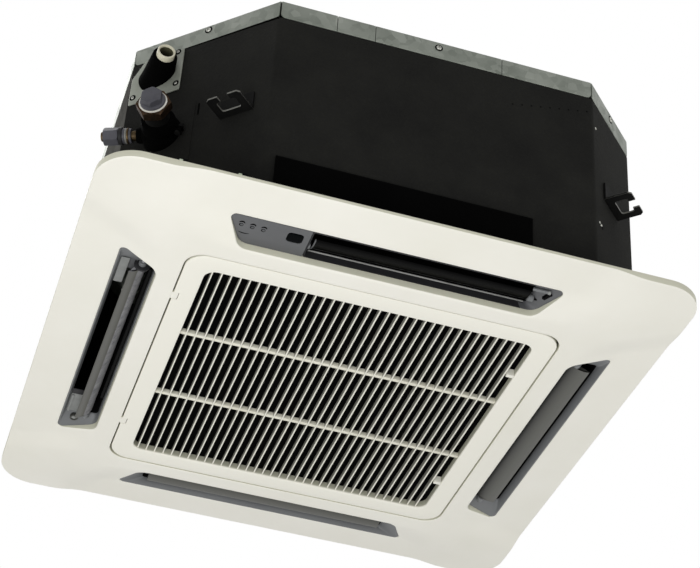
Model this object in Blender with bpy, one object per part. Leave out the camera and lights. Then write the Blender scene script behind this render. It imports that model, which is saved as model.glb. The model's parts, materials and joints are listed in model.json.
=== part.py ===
"""Four-way ceiling cassette fan coil unit, modelled in metres with +Z up.

The unit lies as it hangs: the moulded panel faces down at z = 0, and the octagonal casing stands
on top of it, above the ceiling. The origin is the middle of the panel's face. The pipe corner of
the casing is at -X, -Y. A slot, louvre or wall is built on the front side (-Y) and turned about Z
in quarter turns: front, right (+X), back (+Y), left (-X).
"""

import math

import bmesh
import bpy
from mathutils import Matrix, Vector

GAP = 0.0003                    # clearance between pieces that touch
SIDES = ("front", "right", "back", "left")

# Moulded panel
PANEL_HALF = 0.350              # half of the 700 mm panel
PANEL_CORNER = 0.047            # radius of its outer corners
PANEL_WALL = 0.0025             # thickness of the moulding
RIM_TOP = 0.0190                # height of the ceiling above the panel's face
RIM_EDGE_SIDE = 0.0147          # lower edge of the rim at the middle of a side
RIM_EDGE_CORNER = 0.0100        # lower edge of the rim near a corner
RIM_ROUND = 0.0008              # rounding of the rim's lower edge
RIM_BAND = 0.100                # from the panel's edge in to the flat middle
PLATEAU_HALF = PANEL_HALF - RIM_BAND    # half of the flat middle, up to the air slots
SCOOP_LEVEL = 0.0095            # height of the scoop at the slots' outer edge
SCOOP_END = 0.068               # from the plateau's corner to the scoop's end
SCOOP_HALF = PLATEAU_HALF - SCOOP_END   # half length of the scoop beside the plateau
SCOOP_FLARE = 0.50              # how fast the scoop widens towards the rim
SCOOP_FADE = 0.045              # length over which it fades into the corner
LIP_TOP = 0.0120                # top of the moulding's inner lips
BOSS_IN = 0.018
BOSS_PLACE = PLATEAU_HALF - BOSS_IN     # the four bosses that carry the casing, in x and y
BOSS_RADIUS = 0.007
BOSS_ROOT = 0.0012              # where a boss starts inside the moulding

# Air slots in the panel: a trapezium with the long edge outwards
SLOT_INNER = PLATEAU_HALF
SLOT_WIDTH = 0.047
SLOT_OUTER = SLOT_INNER + SLOT_WIDTH
SLOT_END = 0.075                # from the plateau's corner to the slot's end
SLOT_HALF_INNER = PLATEAU_HALF - SLOT_END
SLOT_SLANT = 0.023              # how much longer the outer edge is at each end
SLOT_HALF_OUTER = SLOT_HALF_INNER + SLOT_SLANT
SLOT_CORNER_INNER = 0.016
SLOT_CORNER_OUTER = 0.006
SLOT_COLLAR = 0.0020            # wall of the collar round a slot
COLLAR_SINK = 0.0010            # how far the collar's tool reaches into the slot before it is cut
SQUARE_CORNER = 0.0010          # rounding of a square-cut end

# Rings of the panel's face, each from the plateau's edge outwards, and of its back
FACE_RINGS = (-0.010, -0.002, 0.0, 0.006, 0.014, 0.024, 0.035, 0.046, 0.056, 0.070, 0.085)
BACK_RINGS = (0.070, 0.046, 0.024, 0.0)

# Grey insert in each slot
INSERT_FACE = 0.0093            # lower, visible edge of the insert
INSERT_LIP = 0.0012             # width of that edge
THROAT_IN = 0.0015              # from the slot's inner edge to the throat
THROAT_OUT = 0.0058             # from the slot's outer edge to the throat
THROAT_END = 0.0095             # from the slot's end to the throat
THROAT_INNER = SLOT_INNER + THROAT_IN
THROAT_OUTER = SLOT_OUTER - THROAT_OUT
THROAT_HALF = SLOT_HALF_INNER - THROAT_END
THROAT_CORNER = 0.004
PLATE_LENGTH = 0.073
PLATE_END = PLATE_LENGTH - SLOT_HALF_INNER      # the front insert stops here, and the indicator plate begins

# Louvres
LOUVRE_END = 0.0055             # from the throat's end to the blade
LOUVRE_HALF = THROAT_HALF - LOUVRE_END
LOUVRE_AXIS_IN = 0.016
LOUVRE_AXIS_OUT = SLOT_INNER + LOUVRE_AXIS_IN   # pivot, outwards from the middle
LOUVRE_AXIS_Z = 0.0155
LOUVRE_INNER = (-0.0080, 0.0035)     # blade's inner edge from the pivot: out, up
LOUVRE_OUTER = (0.0175, -0.0045)     # blade's outer edge from the pivot
LOUVRE_SAG = 0.0030             # how far the blade bows below its chord
LOUVRE_THICK = 0.0020
LOUVRE_STEPS = 6
LOUVRE_PIN_R = 0.0020
LOUVRE_PIN_REACH = 0.0160       # how far the pin stands out of the blade's end
LOUVRE_BORE_R = 0.0025
LOUVRE_PLATE_CLEAR = 0.0070     # front blade's end from the indicator plate
LOUVRE_TILT = {"left": 26.0}    # degrees that this blade is further open than the others

# Indicator plate and receiver window
PLATE_THICK = 0.0026
WINDOW_FROM_END = 0.0165
WINDOW_FROM_EDGE = 0.0180
WINDOW_PLACE = (PLATE_END - WINDOW_FROM_END, WINDOW_FROM_EDGE - SLOT_OUTER)
WINDOW_SIZE = (0.0185, 0.0165)
WINDOW_CORNER = 0.0045
WINDOW_PROUD = 0.0002

# Intake grille, which is the service door
DOOR_MARGIN = 0.0267            # plateau left outside the door
DOOR_HALF = PLATEAU_HALF - DOOR_MARGIN
DOOR_GAP = 0.0019
DOOR_CORNER = 0.0250
OPENING_RIM_CORNER = 0.0239     # corner radius of the panel round the door
DOOR_FACE = 0.0004              # the panel's face carries the unit, the door sits just above it
DOOR_WALL = 0.0030              # thickness of the border
DOOR_SKIN = 0.0025              # thickness of the walls that stand up from it
DOOR_DEPTH = 0.0130             # top of the outer wall
DOOR_ROUND = 0.0008
DOOR_BORDER = 0.0253
OPENING_HALF = DOOR_HALF - DOOR_BORDER
OPENING_CORNER = 0.014
SLAT_COUNT = 35
SLAT_MARGIN = 0.00964           # from the opening's edge to the first slat, before the offset
SLAT_PITCH = 2 * (OPENING_HALF - SLAT_MARGIN) / (SLAT_COUNT - 1)
SLAT_OFFSET = -0.0017           # the row of slats is set off, which leaves room for the latches
SLAT_THICK = 0.0018
SLAT_FACE = 0.0026              # front edge of a slat
SLAT_TOP = 0.0105
BAR_PLACES = (-OPENING_HALF / 3, OPENING_HALF / 3)
BAR_WIDTH = 0.0050
BAR_FACE = 0.0062
LATCH_IN = 0.068
LATCH_PLACES = {"latch_front": LATCH_IN - OPENING_HALF, "latch_back": OPENING_HALF - LATCH_IN}
LATCH_SIZE = (0.0062, 0.0090)
LATCH_FACE = 0.0032

# Hinge of the door, on its -X edge
HINGE_IN = 0.0028
HINGE_X = HINGE_IN - DOOR_HALF
HINGE_Z = 0.0024                # low, so that the door's round corners clear the panel
HINGE_FROM_END = 0.0843
HINGE_PLACES = (HINGE_FROM_END - DOOR_HALF, DOOR_HALF - HINGE_FROM_END)
HINGE_PIN_R = 0.0011
HINGE_BORE_R = 0.0015
HINGE_LUG_HALF = 0.0045         # half width of the panel's lug
HINGE_LUG_R = 0.0018
HINGE_NOTCH_HALF = 0.0065
HINGE_NOTCH_DEPTH = 0.0036      # how far the notch runs past the pin
HINGE_KNUCKLE = 0.0050          # length of the door's knuckle on each side of the notch
HINGE_KNUCKLE_TOP = 0.0072

# Air filter on the back of the grille
FILTER_LAP = 0.0085             # how far the filter lies over the grille's inner wall
FILTER_HALF = OPENING_HALF + FILTER_LAP
FILTER_CORNER = 0.010
FILTER_BORDER = 0.0080
FILTER_SHEET = 0.0008
FILTER_TOP = 0.0133
FILTER_RIBS = (-FILTER_HALF / 2, 0.0, FILTER_HALF / 2)
FILTER_RIB = 0.0030

# Casing
BODY_IN = 0.037                 # from the panel's edge in to the casing
BODY_HALF = PANEL_HALF - BODY_IN        # outside of the walls and of the folded top rim
BODY_TOP = 0.3324
BODY_BOTTOM = 0.0200
RIM_FOLD = 0.0268               # height of the folded rim
SHEET = 0.0015
PIPE_LEG = 0.1445               # leg of the pipe corner's chamfer
CORNER_LEG = 0.0844             # leg of the other three chamfers
WALL_THICK = 0.0118             # sheet and insulation

# Drain pan, bell mouth, fan and motor
PAN_TOP = 0.0600
PAN_HOLE_IN = 0.045
PAN_HOLE_R = PLATEAU_HALF - PAN_HOLE_IN
PAN_HOLE_STEPS = 48
DUCT_LOOSE = 0.0005             # how much wider the pan's duct is than the insert's throat
DUCT_INNER = THROAT_INNER - DUCT_LOOSE
DUCT_OUTER = THROAT_OUTER + DUCT_LOOSE
DUCT_HALF = THROAT_HALF + DUCT_LOOSE
BELL_RUN = 0.055
BELL_THROAT_R = PAN_HOLE_R - BELL_RUN
BELL_TOP = 0.0860
BELL_BASE = 0.0400
BELL_SKIN = 0.0022
FAN_CLEAR = 0.002               # from the bell mouth's throat to the fan's eye
FAN_EYE_R = BELL_THROAT_R + FAN_CLEAR
FAN_RUN = 0.044
FAN_RIM_R = FAN_EYE_R + FAN_RUN
FAN_SHROUD_Z = 0.0900
FAN_SHROUD_RISE = 0.0300
FAN_DISC_DROP = 0.1224          # from the casing's top down to the disc
FAN_DISC_Z = BODY_TOP - FAN_DISC_DROP
FAN_DISC_R = FAN_RIM_R
FAN_SKIN = 0.0030
FAN_HUB_R = 0.062
FAN_HUB_FOOT = 0.0100           # from the disc down to the hub's cone
FAN_HUB_DEPTH = 0.0850          # from the disc down to the hub's nose
FAN_HUB_Z = FAN_DISC_Z - FAN_HUB_DEPTH
FAN_NOSE = 0.0040
FAN_SHAFT_R = 0.0200            # of the hub's inner wall
FAN_BLADES = 7
BLADE_ROOT = 0.0340             # from the fan's eye in to a blade's root
BLADE_ROOT_R = FAN_EYE_R - BLADE_ROOT
BLADE_TIP = 0.0040              # from the rim in to a blade's tip
BLADE_SWEEP = 38.0              # degrees
BLADE_THICK = 0.0040
BLADE_FOOT = 0.0120             # from the shroud up to a blade
MOTOR_R = 0.075
MOTOR_HEIGHT = 0.0824           # with the top plate that carries it
MOTOR_BOTTOM = BODY_TOP - MOTOR_HEIGHT
SHAFT_START = 0.0060            # from the hub's nose up to the shaft's end
SHAFT_LAP = 0.0100              # how far the shaft runs into the motor
COLLAR_LAP = 0.0040
SHAFT_R = 0.0060

# Hanger brackets: a plate with a T-shaped slot for the hanging rod, and a leg up the wall
BRACKET_Z = 0.1655
BRACKET_THICK = 0.0025
BRACKET_WIDTH = 0.0444
BRACKET_REACH = 0.0340
BRACKET_LEG = 0.0260
BRACKET_CORNER = 0.0035
ROD_MOUTH = 0.0134              # opening between the hooks
ROD_SLOT = 0.0250               # width of the slot behind the hooks
ROD_SLOT_START = 0.0100         # from the wall to the slot
ROD_HOOK = 0.0080               # thickness of the hooks
ROD_SLOT_CORNER = 0.0030
BRACKET_SHIFTS = {"pipe": 0.0575, "front_right": -0.0095, "back_right": 0.0095, "back_left": -0.0095}

# Drain outlet on the pipe corner
DRAIN_PLATE = 0.0025
DRAIN_PLATE_SPAN = (-0.0998, -0.0280)
DRAIN_PLATE_DROP = (0.0951, 0.0279)     # from the casing's top to the plate's lower and upper edge
DRAIN_PLATE_Z = (BODY_TOP - DRAIN_PLATE_DROP[0], BODY_TOP - DRAIN_PLATE_DROP[1])
DRAIN_PLATE_CUT = (0.0165, 0.0250)
DRAIN_FROM_SIDE = 0.0273        # drain's axis from the casing's left side
DRAIN_FROM_FRONT = 0.0681       # drain's end from the casing's front
DRAIN_X = DRAIN_FROM_SIDE - BODY_HALF
DRAIN_END_Y = DRAIN_FROM_FRONT - BODY_HALF
DRAIN_DROP = 0.0616             # from the casing's top to the drain's axis
DRAIN_Z = BODY_TOP - DRAIN_DROP
DRAIN_LENGTH = 0.095            # of the tube before the wall cuts it off
DRAIN_R = 0.0108
DRAIN_BORE_R = 0.0084
SLEEVE_BACK = 0.0080            # how far the sleeve stops short of the drain's end
SLEEVE_END_R = 0.0145
SLEEVE_ROOT_R = 0.0215          # where the tube starts, inside the casing

# Water unions on the pipe corner
UNION_ROUND = 24
UNION_FROM_SIDE = 0.0137
UNION_FROM_FRONT = 0.0394
PURGE_FROM_SIDE = -0.0255
PURGE_FROM_FRONT = 0.1280
# Each union: end of its axis, heading in plan, radii, and lengths from the end inwards
UNIONS = {
    "water_union": {"end": (UNION_FROM_SIDE - BODY_HALF, UNION_FROM_FRONT - BODY_HALF, 0.1700),
                    "heading": (-0.40, -0.917), "stub_r": 0.0200, "nut_r": 0.0190, "nut_sides": 6,
                    "cap_r": 0.0138, "nut": 0.0100, "cap": 0.0090, "tip": 0.0, "tip_r": 0.0, "neck": 0.0140,
                    "neck_r": 0.0150, "length": 0.140},
    "purge_union": {"end": (PURGE_FROM_SIDE - BODY_HALF, PURGE_FROM_FRONT - BODY_HALF, 0.1680),
                    "heading": (-0.917, 0.398), "stub_r": 0.0070, "nut_r": 0.0105, "nut_sides": 24,
                    "cap_r": 0.0118, "nut": 0.0110, "cap": 0.0130, "tip": 0.0050, "tip_r": 0.0060,
                    "neck": 0.0030, "neck_r": 0.0085, "length": 0.060},
}

# Black foam pad on the lower part of the front wall
PAD_FROM_SIDES = (0.1560, 0.1640)
FOAM_PAD_TOP = 0.0895
FOAM_PAD_THICK = 0.0025


def new_object(name, mesh):
    """Link a mesh to the scene as an object of the same name."""
    piece = bpy.data.objects.new(name, mesh)
    bpy.context.scene.collection.objects.link(piece)
    return piece


def from_bmesh(name, bm):
    """Turn a bmesh into an object whose faces point outwards."""
    bmesh.ops.recalc_face_normals(bm, faces=bm.faces)
    mesh = bpy.data.meshes.new(name)
    bm.to_mesh(mesh)
    bm.free()
    return new_object(name, mesh)


def loft(name, loops, ring=False):
    """Skin a row of loops with equally many points.

    With ring, the last loop meets the first, which makes a frame. Otherwise both ends are capped.
    """
    bm = bmesh.new()
    rows = [[bm.verts.new(point) for point in loop] for loop in loops]
    pairs = list(zip(rows, rows[1:]))
    if ring:
        pairs.append((rows[-1], rows[0]))
    for low, high in pairs:
        count = len(low)
        for i in range(count):
            j = (i + 1) % count
            bm.faces.new((low[i], low[j], high[j], high[i]))
    if not ring:
        bm.faces.new(list(reversed(rows[0])))
        bm.faces.new(rows[-1])
    return from_bmesh(name, bm)


def prism(name, outline, low, high):
    """A straight-sided solid over a flat outline."""
    return loft(name, [at_height(outline, low), at_height(outline, high)])


def box(name, low, high):
    """A box between two corners."""
    outline = [(low[0], low[1]), (high[0], low[1]), (high[0], high[1]), (low[0], high[1])]
    return prism(name, outline, low[2], high[2])


def at_height(outline, z):
    """Lift a flat outline to one height."""
    return [(x, y, z) for x, y in outline]


def revolve(name, profile, steps, centre=(0.0, 0.0)):
    """Turn a closed profile of (radius, z) about a vertical axis."""
    loops = []
    for i in range(steps):
        turn = 2 * math.pi * i / steps
        loops.append([(centre[0] + r * math.cos(turn), centre[1] + r * math.sin(turn), z)
                      for r, z in profile])
    return loft(name, loops, ring=True)


def cylinder(name, start, end, radius, steps=16, end_radius=None):
    """A round bar from start to end, tapered if end_radius is given."""
    axis = Vector(end) - Vector(start)
    turn = axis.to_track_quat("Z", "Y").to_matrix()
    far_radius = radius if end_radius is None else end_radius
    loops = []
    for centre, r in ((start, radius), (end, far_radius)):
        loop = []
        for i in range(steps):
            angle = 2 * math.pi * (i + 0.5) / steps
            loop.append(Vector(centre) + turn @ Vector((r * math.cos(angle), r * math.sin(angle), 0)))
        loops.append(loop)
    return loft(name, loops)


def tube(name, start, end, radii, end_radii, steps=24):
    """A round tube; radii and end_radii are (outer, inner) at start and end."""
    axis = Vector(end) - Vector(start)
    turn = axis.to_track_quat("Z", "Y").to_matrix()
    rows = ((start, radii[0]), (end, end_radii[0]), (end, end_radii[1]), (start, radii[1]))
    loops = []
    for centre, r in rows:
        loop = []
        for i in range(steps):
            angle = 2 * math.pi * (i + 0.5) / steps
            loop.append(Vector(centre) + turn @ Vector((r * math.cos(angle), r * math.sin(angle), 0)))
        loops.append(loop)
    return loft(name, loops, ring=True)


def combine(piece, other, operation):
    """Add an EXACT Boolean with another object, which becomes a hidden tool."""
    modifier = piece.modifiers.new(operation.lower(), "BOOLEAN")
    modifier.operation = operation
    modifier.solver = "EXACT"
    modifier.object = other
    other.hide_render = True
    other.display_type = "WIRE"
    return piece


def join(name, pieces):
    """Join objects that don't touch into one."""
    bm = bmesh.new()
    for piece in pieces:
        bm.from_mesh(piece.data)
        bpy.data.objects.remove(piece)
    return from_bmesh(name, bm)


def quarter(piece, side):
    """Turn a piece that was built on the front to its side of the unit."""
    piece.data.transform(Matrix.Rotation(math.radians(90 * SIDES.index(side)), 4, "Z"))
    return piece


def arc_points(centre, radius, start, end, steps):
    """Points on an arc, angles in degrees, both ends included."""
    points = []
    for i in range(steps + 1):
        angle = math.radians(start + (end - start) * i / steps)
        points.append((centre[0] + radius * math.cos(angle), centre[1] + radius * math.sin(angle)))
    return points


def rounded_square(half, radius, steps=5):
    """Outline of a square with round corners."""
    inner = half - radius
    outline = []
    for index, (x, y) in enumerate(((inner, inner), (-inner, inner), (-inner, -inner), (inner, -inner))):
        outline += arc_points((x, y), radius, 90 * index, 90 * index + 90, steps)
    return outline


def rounded_polygon(corners, radii, steps=4):
    """Round each corner of a convex polygon with its own radius."""
    outline = []
    count = len(corners)
    for i, corner in enumerate(corners):
        point = Vector(corner)
        to_last = (Vector(corners[i - 1]) - point).normalized()
        to_next = (Vector(corners[(i + 1) % count]) - point).normalized()
        half = math.acos(max(-1.0, min(1.0, to_last.dot(to_next)))) / 2
        reach = radii[i] / math.tan(half)
        centre = point + (to_last + to_next).normalized() * (radii[i] / math.sin(half))
        first = point + to_last * reach - centre
        last = point + to_next * reach - centre
        start = math.atan2(first.y, first.x)
        sweep = math.atan2(last.y, last.x) - start
        sweep = (sweep + math.pi) % (2 * math.pi) - math.pi
        for k in range(steps + 1):
            angle = start + sweep * k / steps
            outline.append((centre.x + radii[i] * math.cos(angle), centre.y + radii[i] * math.sin(angle)))
    return outline


def slot_outline(inset, start=-1.0, end=1.0):
    """Outline of a front slot, pulled in by inset on every edge.

    start and end are -1 and 1 for the slanted ends, or an x position for a square-cut end.
    """
    slope = (SLOT_HALF_OUTER - SLOT_HALF_INNER) / (SLOT_OUTER - SLOT_INNER)
    slant = math.hypot(1.0, slope)
    inner = SLOT_INNER + inset
    outer = SLOT_OUTER - inset

    def half_at(out):
        return SLOT_HALF_INNER + (out - SLOT_INNER) * slope - inset * slant

    left_in, left_out = (-half_at(inner), -half_at(outer)) if start == -1.0 else (start + inset,) * 2
    right_in, right_out = (half_at(inner), half_at(outer)) if end == 1.0 else (end - inset,) * 2
    small = SQUARE_CORNER
    left_radii = (SLOT_CORNER_OUTER - inset, SLOT_CORNER_INNER - inset) if start == -1.0 else (small, small)
    right_radii = (SLOT_CORNER_OUTER - inset, SLOT_CORNER_INNER - inset) if end == 1.0 else (small, small)
    corners = [(left_out, -outer), (right_out, -outer), (right_in, -inner), (left_in, -inner)]
    radii = [left_radii[0], right_radii[0], right_radii[1], left_radii[1]]
    return rounded_polygon(corners, radii)


def smooth(value):
    """Ease from 0 to 1."""
    value = max(0.0, min(1.0, value))
    return value * value * (3 - 2 * value)


def panel_height(half, along):
    """Height of the panel's face on the square of this half size, this far along its side."""
    if half <= PLATEAU_HALF:
        return 0.0
    share = (half - PLATEAU_HALF) / (PANEL_HALF - PLATEAU_HALF)
    corner = RIM_EDGE_CORNER * smooth(share)
    if half <= SLOT_OUTER:
        side = SCOOP_LEVEL * (half - PLATEAU_HALF) / (SLOT_OUTER - PLATEAU_HALF)
    else:
        side = SCOOP_LEVEL + (RIM_EDGE_SIDE - SCOOP_LEVEL) * (half - SLOT_OUTER) / (PANEL_HALF - SLOT_OUTER)
    start = SCOOP_HALF + SCOOP_FLARE * (half - PLATEAU_HALF)
    scoop = 1 - smooth((abs(along) - start) / SCOOP_FADE)
    return corner + scoop * (side - corner)


def panel_ring(half, rise=0.0, height=None):
    """One loop of the panel's skin: points on a rounded square, lifted to the face's height."""
    share = (half - DOOR_HALF) / (PANEL_HALF - DOOR_HALF)
    corner = OPENING_RIM_CORNER + (PANEL_CORNER - OPENING_RIM_CORNER) * share
    stops = (0.0, 0.25, 0.5, 0.6, 0.67, 0.73, 0.79, 0.85)
    straight = half - corner
    places = [-s * half for s in reversed(stops[1:]) if s * half < straight - 0.002]
    places += [s * half for s in stops if s * half < straight - 0.002]
    while len(places) < 2 * len(stops) - 1:
        places = [(places[0] - straight) / 2] + places + [(places[-1] + straight) / 2]
    side = [(x, -half) for x in places]
    side = [(-straight, -half)] + side + arc_points((straight, -straight), corner, -90, 0, 4)[:-1]
    loop = []
    for index in range(4):
        turn = Matrix.Rotation(math.radians(90 * index), 2)
        for x, y in side:
            along = min(abs(x), abs(y))
            z = panel_height(half, along) + rise if height is None else height
            place = turn @ Vector((x, y))
            loop.append((place.x, place.y, z))
    return loop


def make_panel():
    """Moulded panel: one skin lofted from rings, with slot collars, bosses and hinge lugs."""
    inner = DOOR_HALF + DOOR_GAP
    rows = [panel_ring(inner, rise=RIM_ROUND), panel_ring(inner + RIM_ROUND)]
    for step in FACE_RINGS:
        rows.append(panel_ring(PLATEAU_HALF + step))
    rows += [panel_ring(PANEL_HALF - RIM_ROUND), panel_ring(PANEL_HALF, rise=RIM_ROUND),
             panel_ring(PANEL_HALF, height=RIM_TOP),
             panel_ring(PANEL_HALF - PANEL_WALL, height=RIM_TOP)]
    back = [PANEL_HALF - PANEL_WALL] + [PLATEAU_HALF + step for step in BACK_RINGS] + [inner + PANEL_WALL]
    for half in back:
        rows.append(panel_ring(half, rise=PANEL_WALL))
    rows += [panel_ring(inner + PANEL_WALL, height=LIP_TOP), panel_ring(inner, height=LIP_TOP)]
    panel = loft("panel", rows, ring=True)

    for side in SIDES:
        collar_rows = []
        for inset, top in ((-SLOT_COLLAR, False), (-SLOT_COLLAR, True), (COLLAR_SINK, True),
                           (COLLAR_SINK, False)):
            loop = []
            for x, y in slot_outline(inset):
                z = LIP_TOP if top else panel_height(-y, x) + PANEL_WALL / 2
                loop.append((x, y, z))
            collar_rows.append(loop)
        combine(panel, quarter(loft("collar_tool", collar_rows, ring=True), side), "UNION")
    for side in SIDES:
        combine(panel, quarter(prism("slot_tool", slot_outline(0.0), -0.005, 0.030), side), "DIFFERENCE")
    bosses = [cylinder("boss", (x, y, BOSS_ROOT), (x, y, BODY_BOTTOM - GAP), BOSS_RADIUS)
              for x in (-BOSS_PLACE, BOSS_PLACE) for y in (-BOSS_PLACE, BOSS_PLACE)]
    combine(panel, join("boss_tool", bosses), "UNION")
    lugs = []
    for place in HINGE_PLACES:
        lugs.append(box("lug", (-inner - PANEL_WALL / 2, place - HINGE_LUG_HALF, HINGE_Z - HINGE_LUG_R),
                        (HINGE_X + HINGE_LUG_R, place + HINGE_LUG_HALF, HINGE_Z + HINGE_LUG_R)))
    combine(panel, join("lug_tool", lugs), "UNION")
    pins = []
    for place in HINGE_PLACES:
        reach = HINGE_NOTCH_HALF + HINGE_KNUCKLE - 0.001
        pins.append(cylinder("pin", (HINGE_X, place - reach, HINGE_Z), (HINGE_X, place + reach, HINGE_Z),
                             HINGE_PIN_R, 12))
    combine(panel, join("pin_tool", pins), "UNION")
    return panel


def make_insert(side):
    """Grey insert of one slot: a frame that narrows from the slot to the outlet's throat."""
    start = -1.0
    throat_start = -THROAT_HALF
    if side == "front":
        start = PLATE_END
        throat_start = PLATE_END + INSERT_LIP + GAP
    edge = slot_outline(GAP, start)
    mouth = slot_outline(GAP + INSERT_LIP, start)
    corners = [(throat_start, -THROAT_OUTER), (THROAT_HALF, -THROAT_OUTER),
               (THROAT_HALF, -THROAT_INNER), (throat_start, -THROAT_INNER)]
    throat = rounded_polygon(corners, [THROAT_CORNER] * 4)
    top = BODY_BOTTOM - GAP
    piece = loft("insert_" + side, [at_height(edge, INSERT_FACE), at_height(edge, top),
                                    at_height(throat, top), at_height(mouth, INSERT_FACE)], ring=True)
    bore_start = throat_start if side == "front" else -LOUVRE_HALF
    bore = cylinder("bore_tool", (bore_start - 0.020, -LOUVRE_AXIS_OUT, LOUVRE_AXIS_Z),
                    (LOUVRE_HALF + LOUVRE_PIN_REACH + 0.001, -LOUVRE_AXIS_OUT, LOUVRE_AXIS_Z),
                    LOUVRE_BORE_R)
    combine(piece, bore, "DIFFERENCE")
    quarter(piece, side)
    quarter(bore, side)
    return piece


def louvre_section(side):
    """Outline of the blade across its length: a bowed plate, points as (out, up) from the pivot."""
    start = Vector(LOUVRE_INNER)
    end = Vector(LOUVRE_OUTER)
    chord = end - start
    normal = Vector((chord.y, -chord.x)).normalized()
    lower = []
    upper = []
    for i in range(LOUVRE_STEPS + 1):
        share = i / LOUVRE_STEPS
        bow = LOUVRE_SAG * 4 * share * (1 - share)
        middle = start + chord * share + normal * bow
        lower.append(middle + normal * LOUVRE_THICK / 2)
        upper.append(middle - normal * LOUVRE_THICK / 2)
    tilt = Matrix.Rotation(-math.radians(LOUVRE_TILT.get(side, 0.0)), 2)
    return [tilt @ point for point in lower + list(reversed(upper))]


def make_louvre(side):
    """Air louvre: a bowed blade with a pivot pin at each end, its origin on the pivot."""
    start = PLATE_END + LOUVRE_PLATE_CLEAR if side == "front" else -LOUVRE_HALF
    loops = []
    for x in (start, LOUVRE_HALF):
        loops.append([(x, -point.x, point.y) for point in louvre_section(side)])
    blade = loft("louvre_" + side, loops)
    overlap = 0.004
    left_reach = LOUVRE_PIN_REACH if side != "front" else LOUVRE_PLATE_CLEAR + 0.001
    pins = [cylinder("pin", (start - left_reach, 0, 0), (start + overlap, 0, 0), LOUVRE_PIN_R, 12),
            cylinder("pin", (LOUVRE_HALF - overlap, 0, 0), (LOUVRE_HALF + LOUVRE_PIN_REACH, 0, 0),
                     LOUVRE_PIN_R, 12)]
    tool = join("pin_tool", pins)
    combine(blade, tool, "UNION")
    turn = math.radians(90 * SIDES.index(side))
    for piece in (blade, tool):
        piece.rotation_euler = (0, 0, turn)
        piece.location = Matrix.Rotation(turn, 3, "Z") @ Vector((0, -LOUVRE_AXIS_OUT, LOUVRE_AXIS_Z))
    return blade


def make_indicator_plate():
    """Plate that closes the front slot's left end, with a hole for the receiver window."""
    outline = slot_outline(GAP, -1.0, PLATE_END)
    plate = prism("indicator_plate", outline, INSERT_FACE, INSERT_FACE + PLATE_THICK)
    wide, deep = WINDOW_SIZE[0] / 2, WINDOW_SIZE[1] / 2
    hole = [(WINDOW_PLACE[0] + x, WINDOW_PLACE[1] + y) for x, y in
            rounded_polygon([(-wide, -deep), (wide, -deep), (wide, deep), (-wide, deep)],
                            [WINDOW_CORNER] * 4)]
    tool = prism("hole_tool", hole, INSERT_FACE - 0.005, INSERT_FACE + PLATE_THICK + 0.005)
    return combine(plate, tool, "DIFFERENCE")


def make_receiver_window():
    """Dark window of the remote control's receiver."""
    half = (WINDOW_SIZE[0] / 2 - GAP, WINDOW_SIZE[1] / 2 - GAP)
    corners = [(-half[0], -half[1]), (half[0], -half[1]), (half[0], half[1]), (-half[0], half[1])]
    outline = [(WINDOW_PLACE[0] + x, WINDOW_PLACE[1] + y)
               for x, y in rounded_polygon(corners, [WINDOW_CORNER - GAP] * 4)]
    return prism("receiver_window", outline, INSERT_FACE - WINDOW_PROUD, INSERT_FACE + PLATE_THICK)


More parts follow.
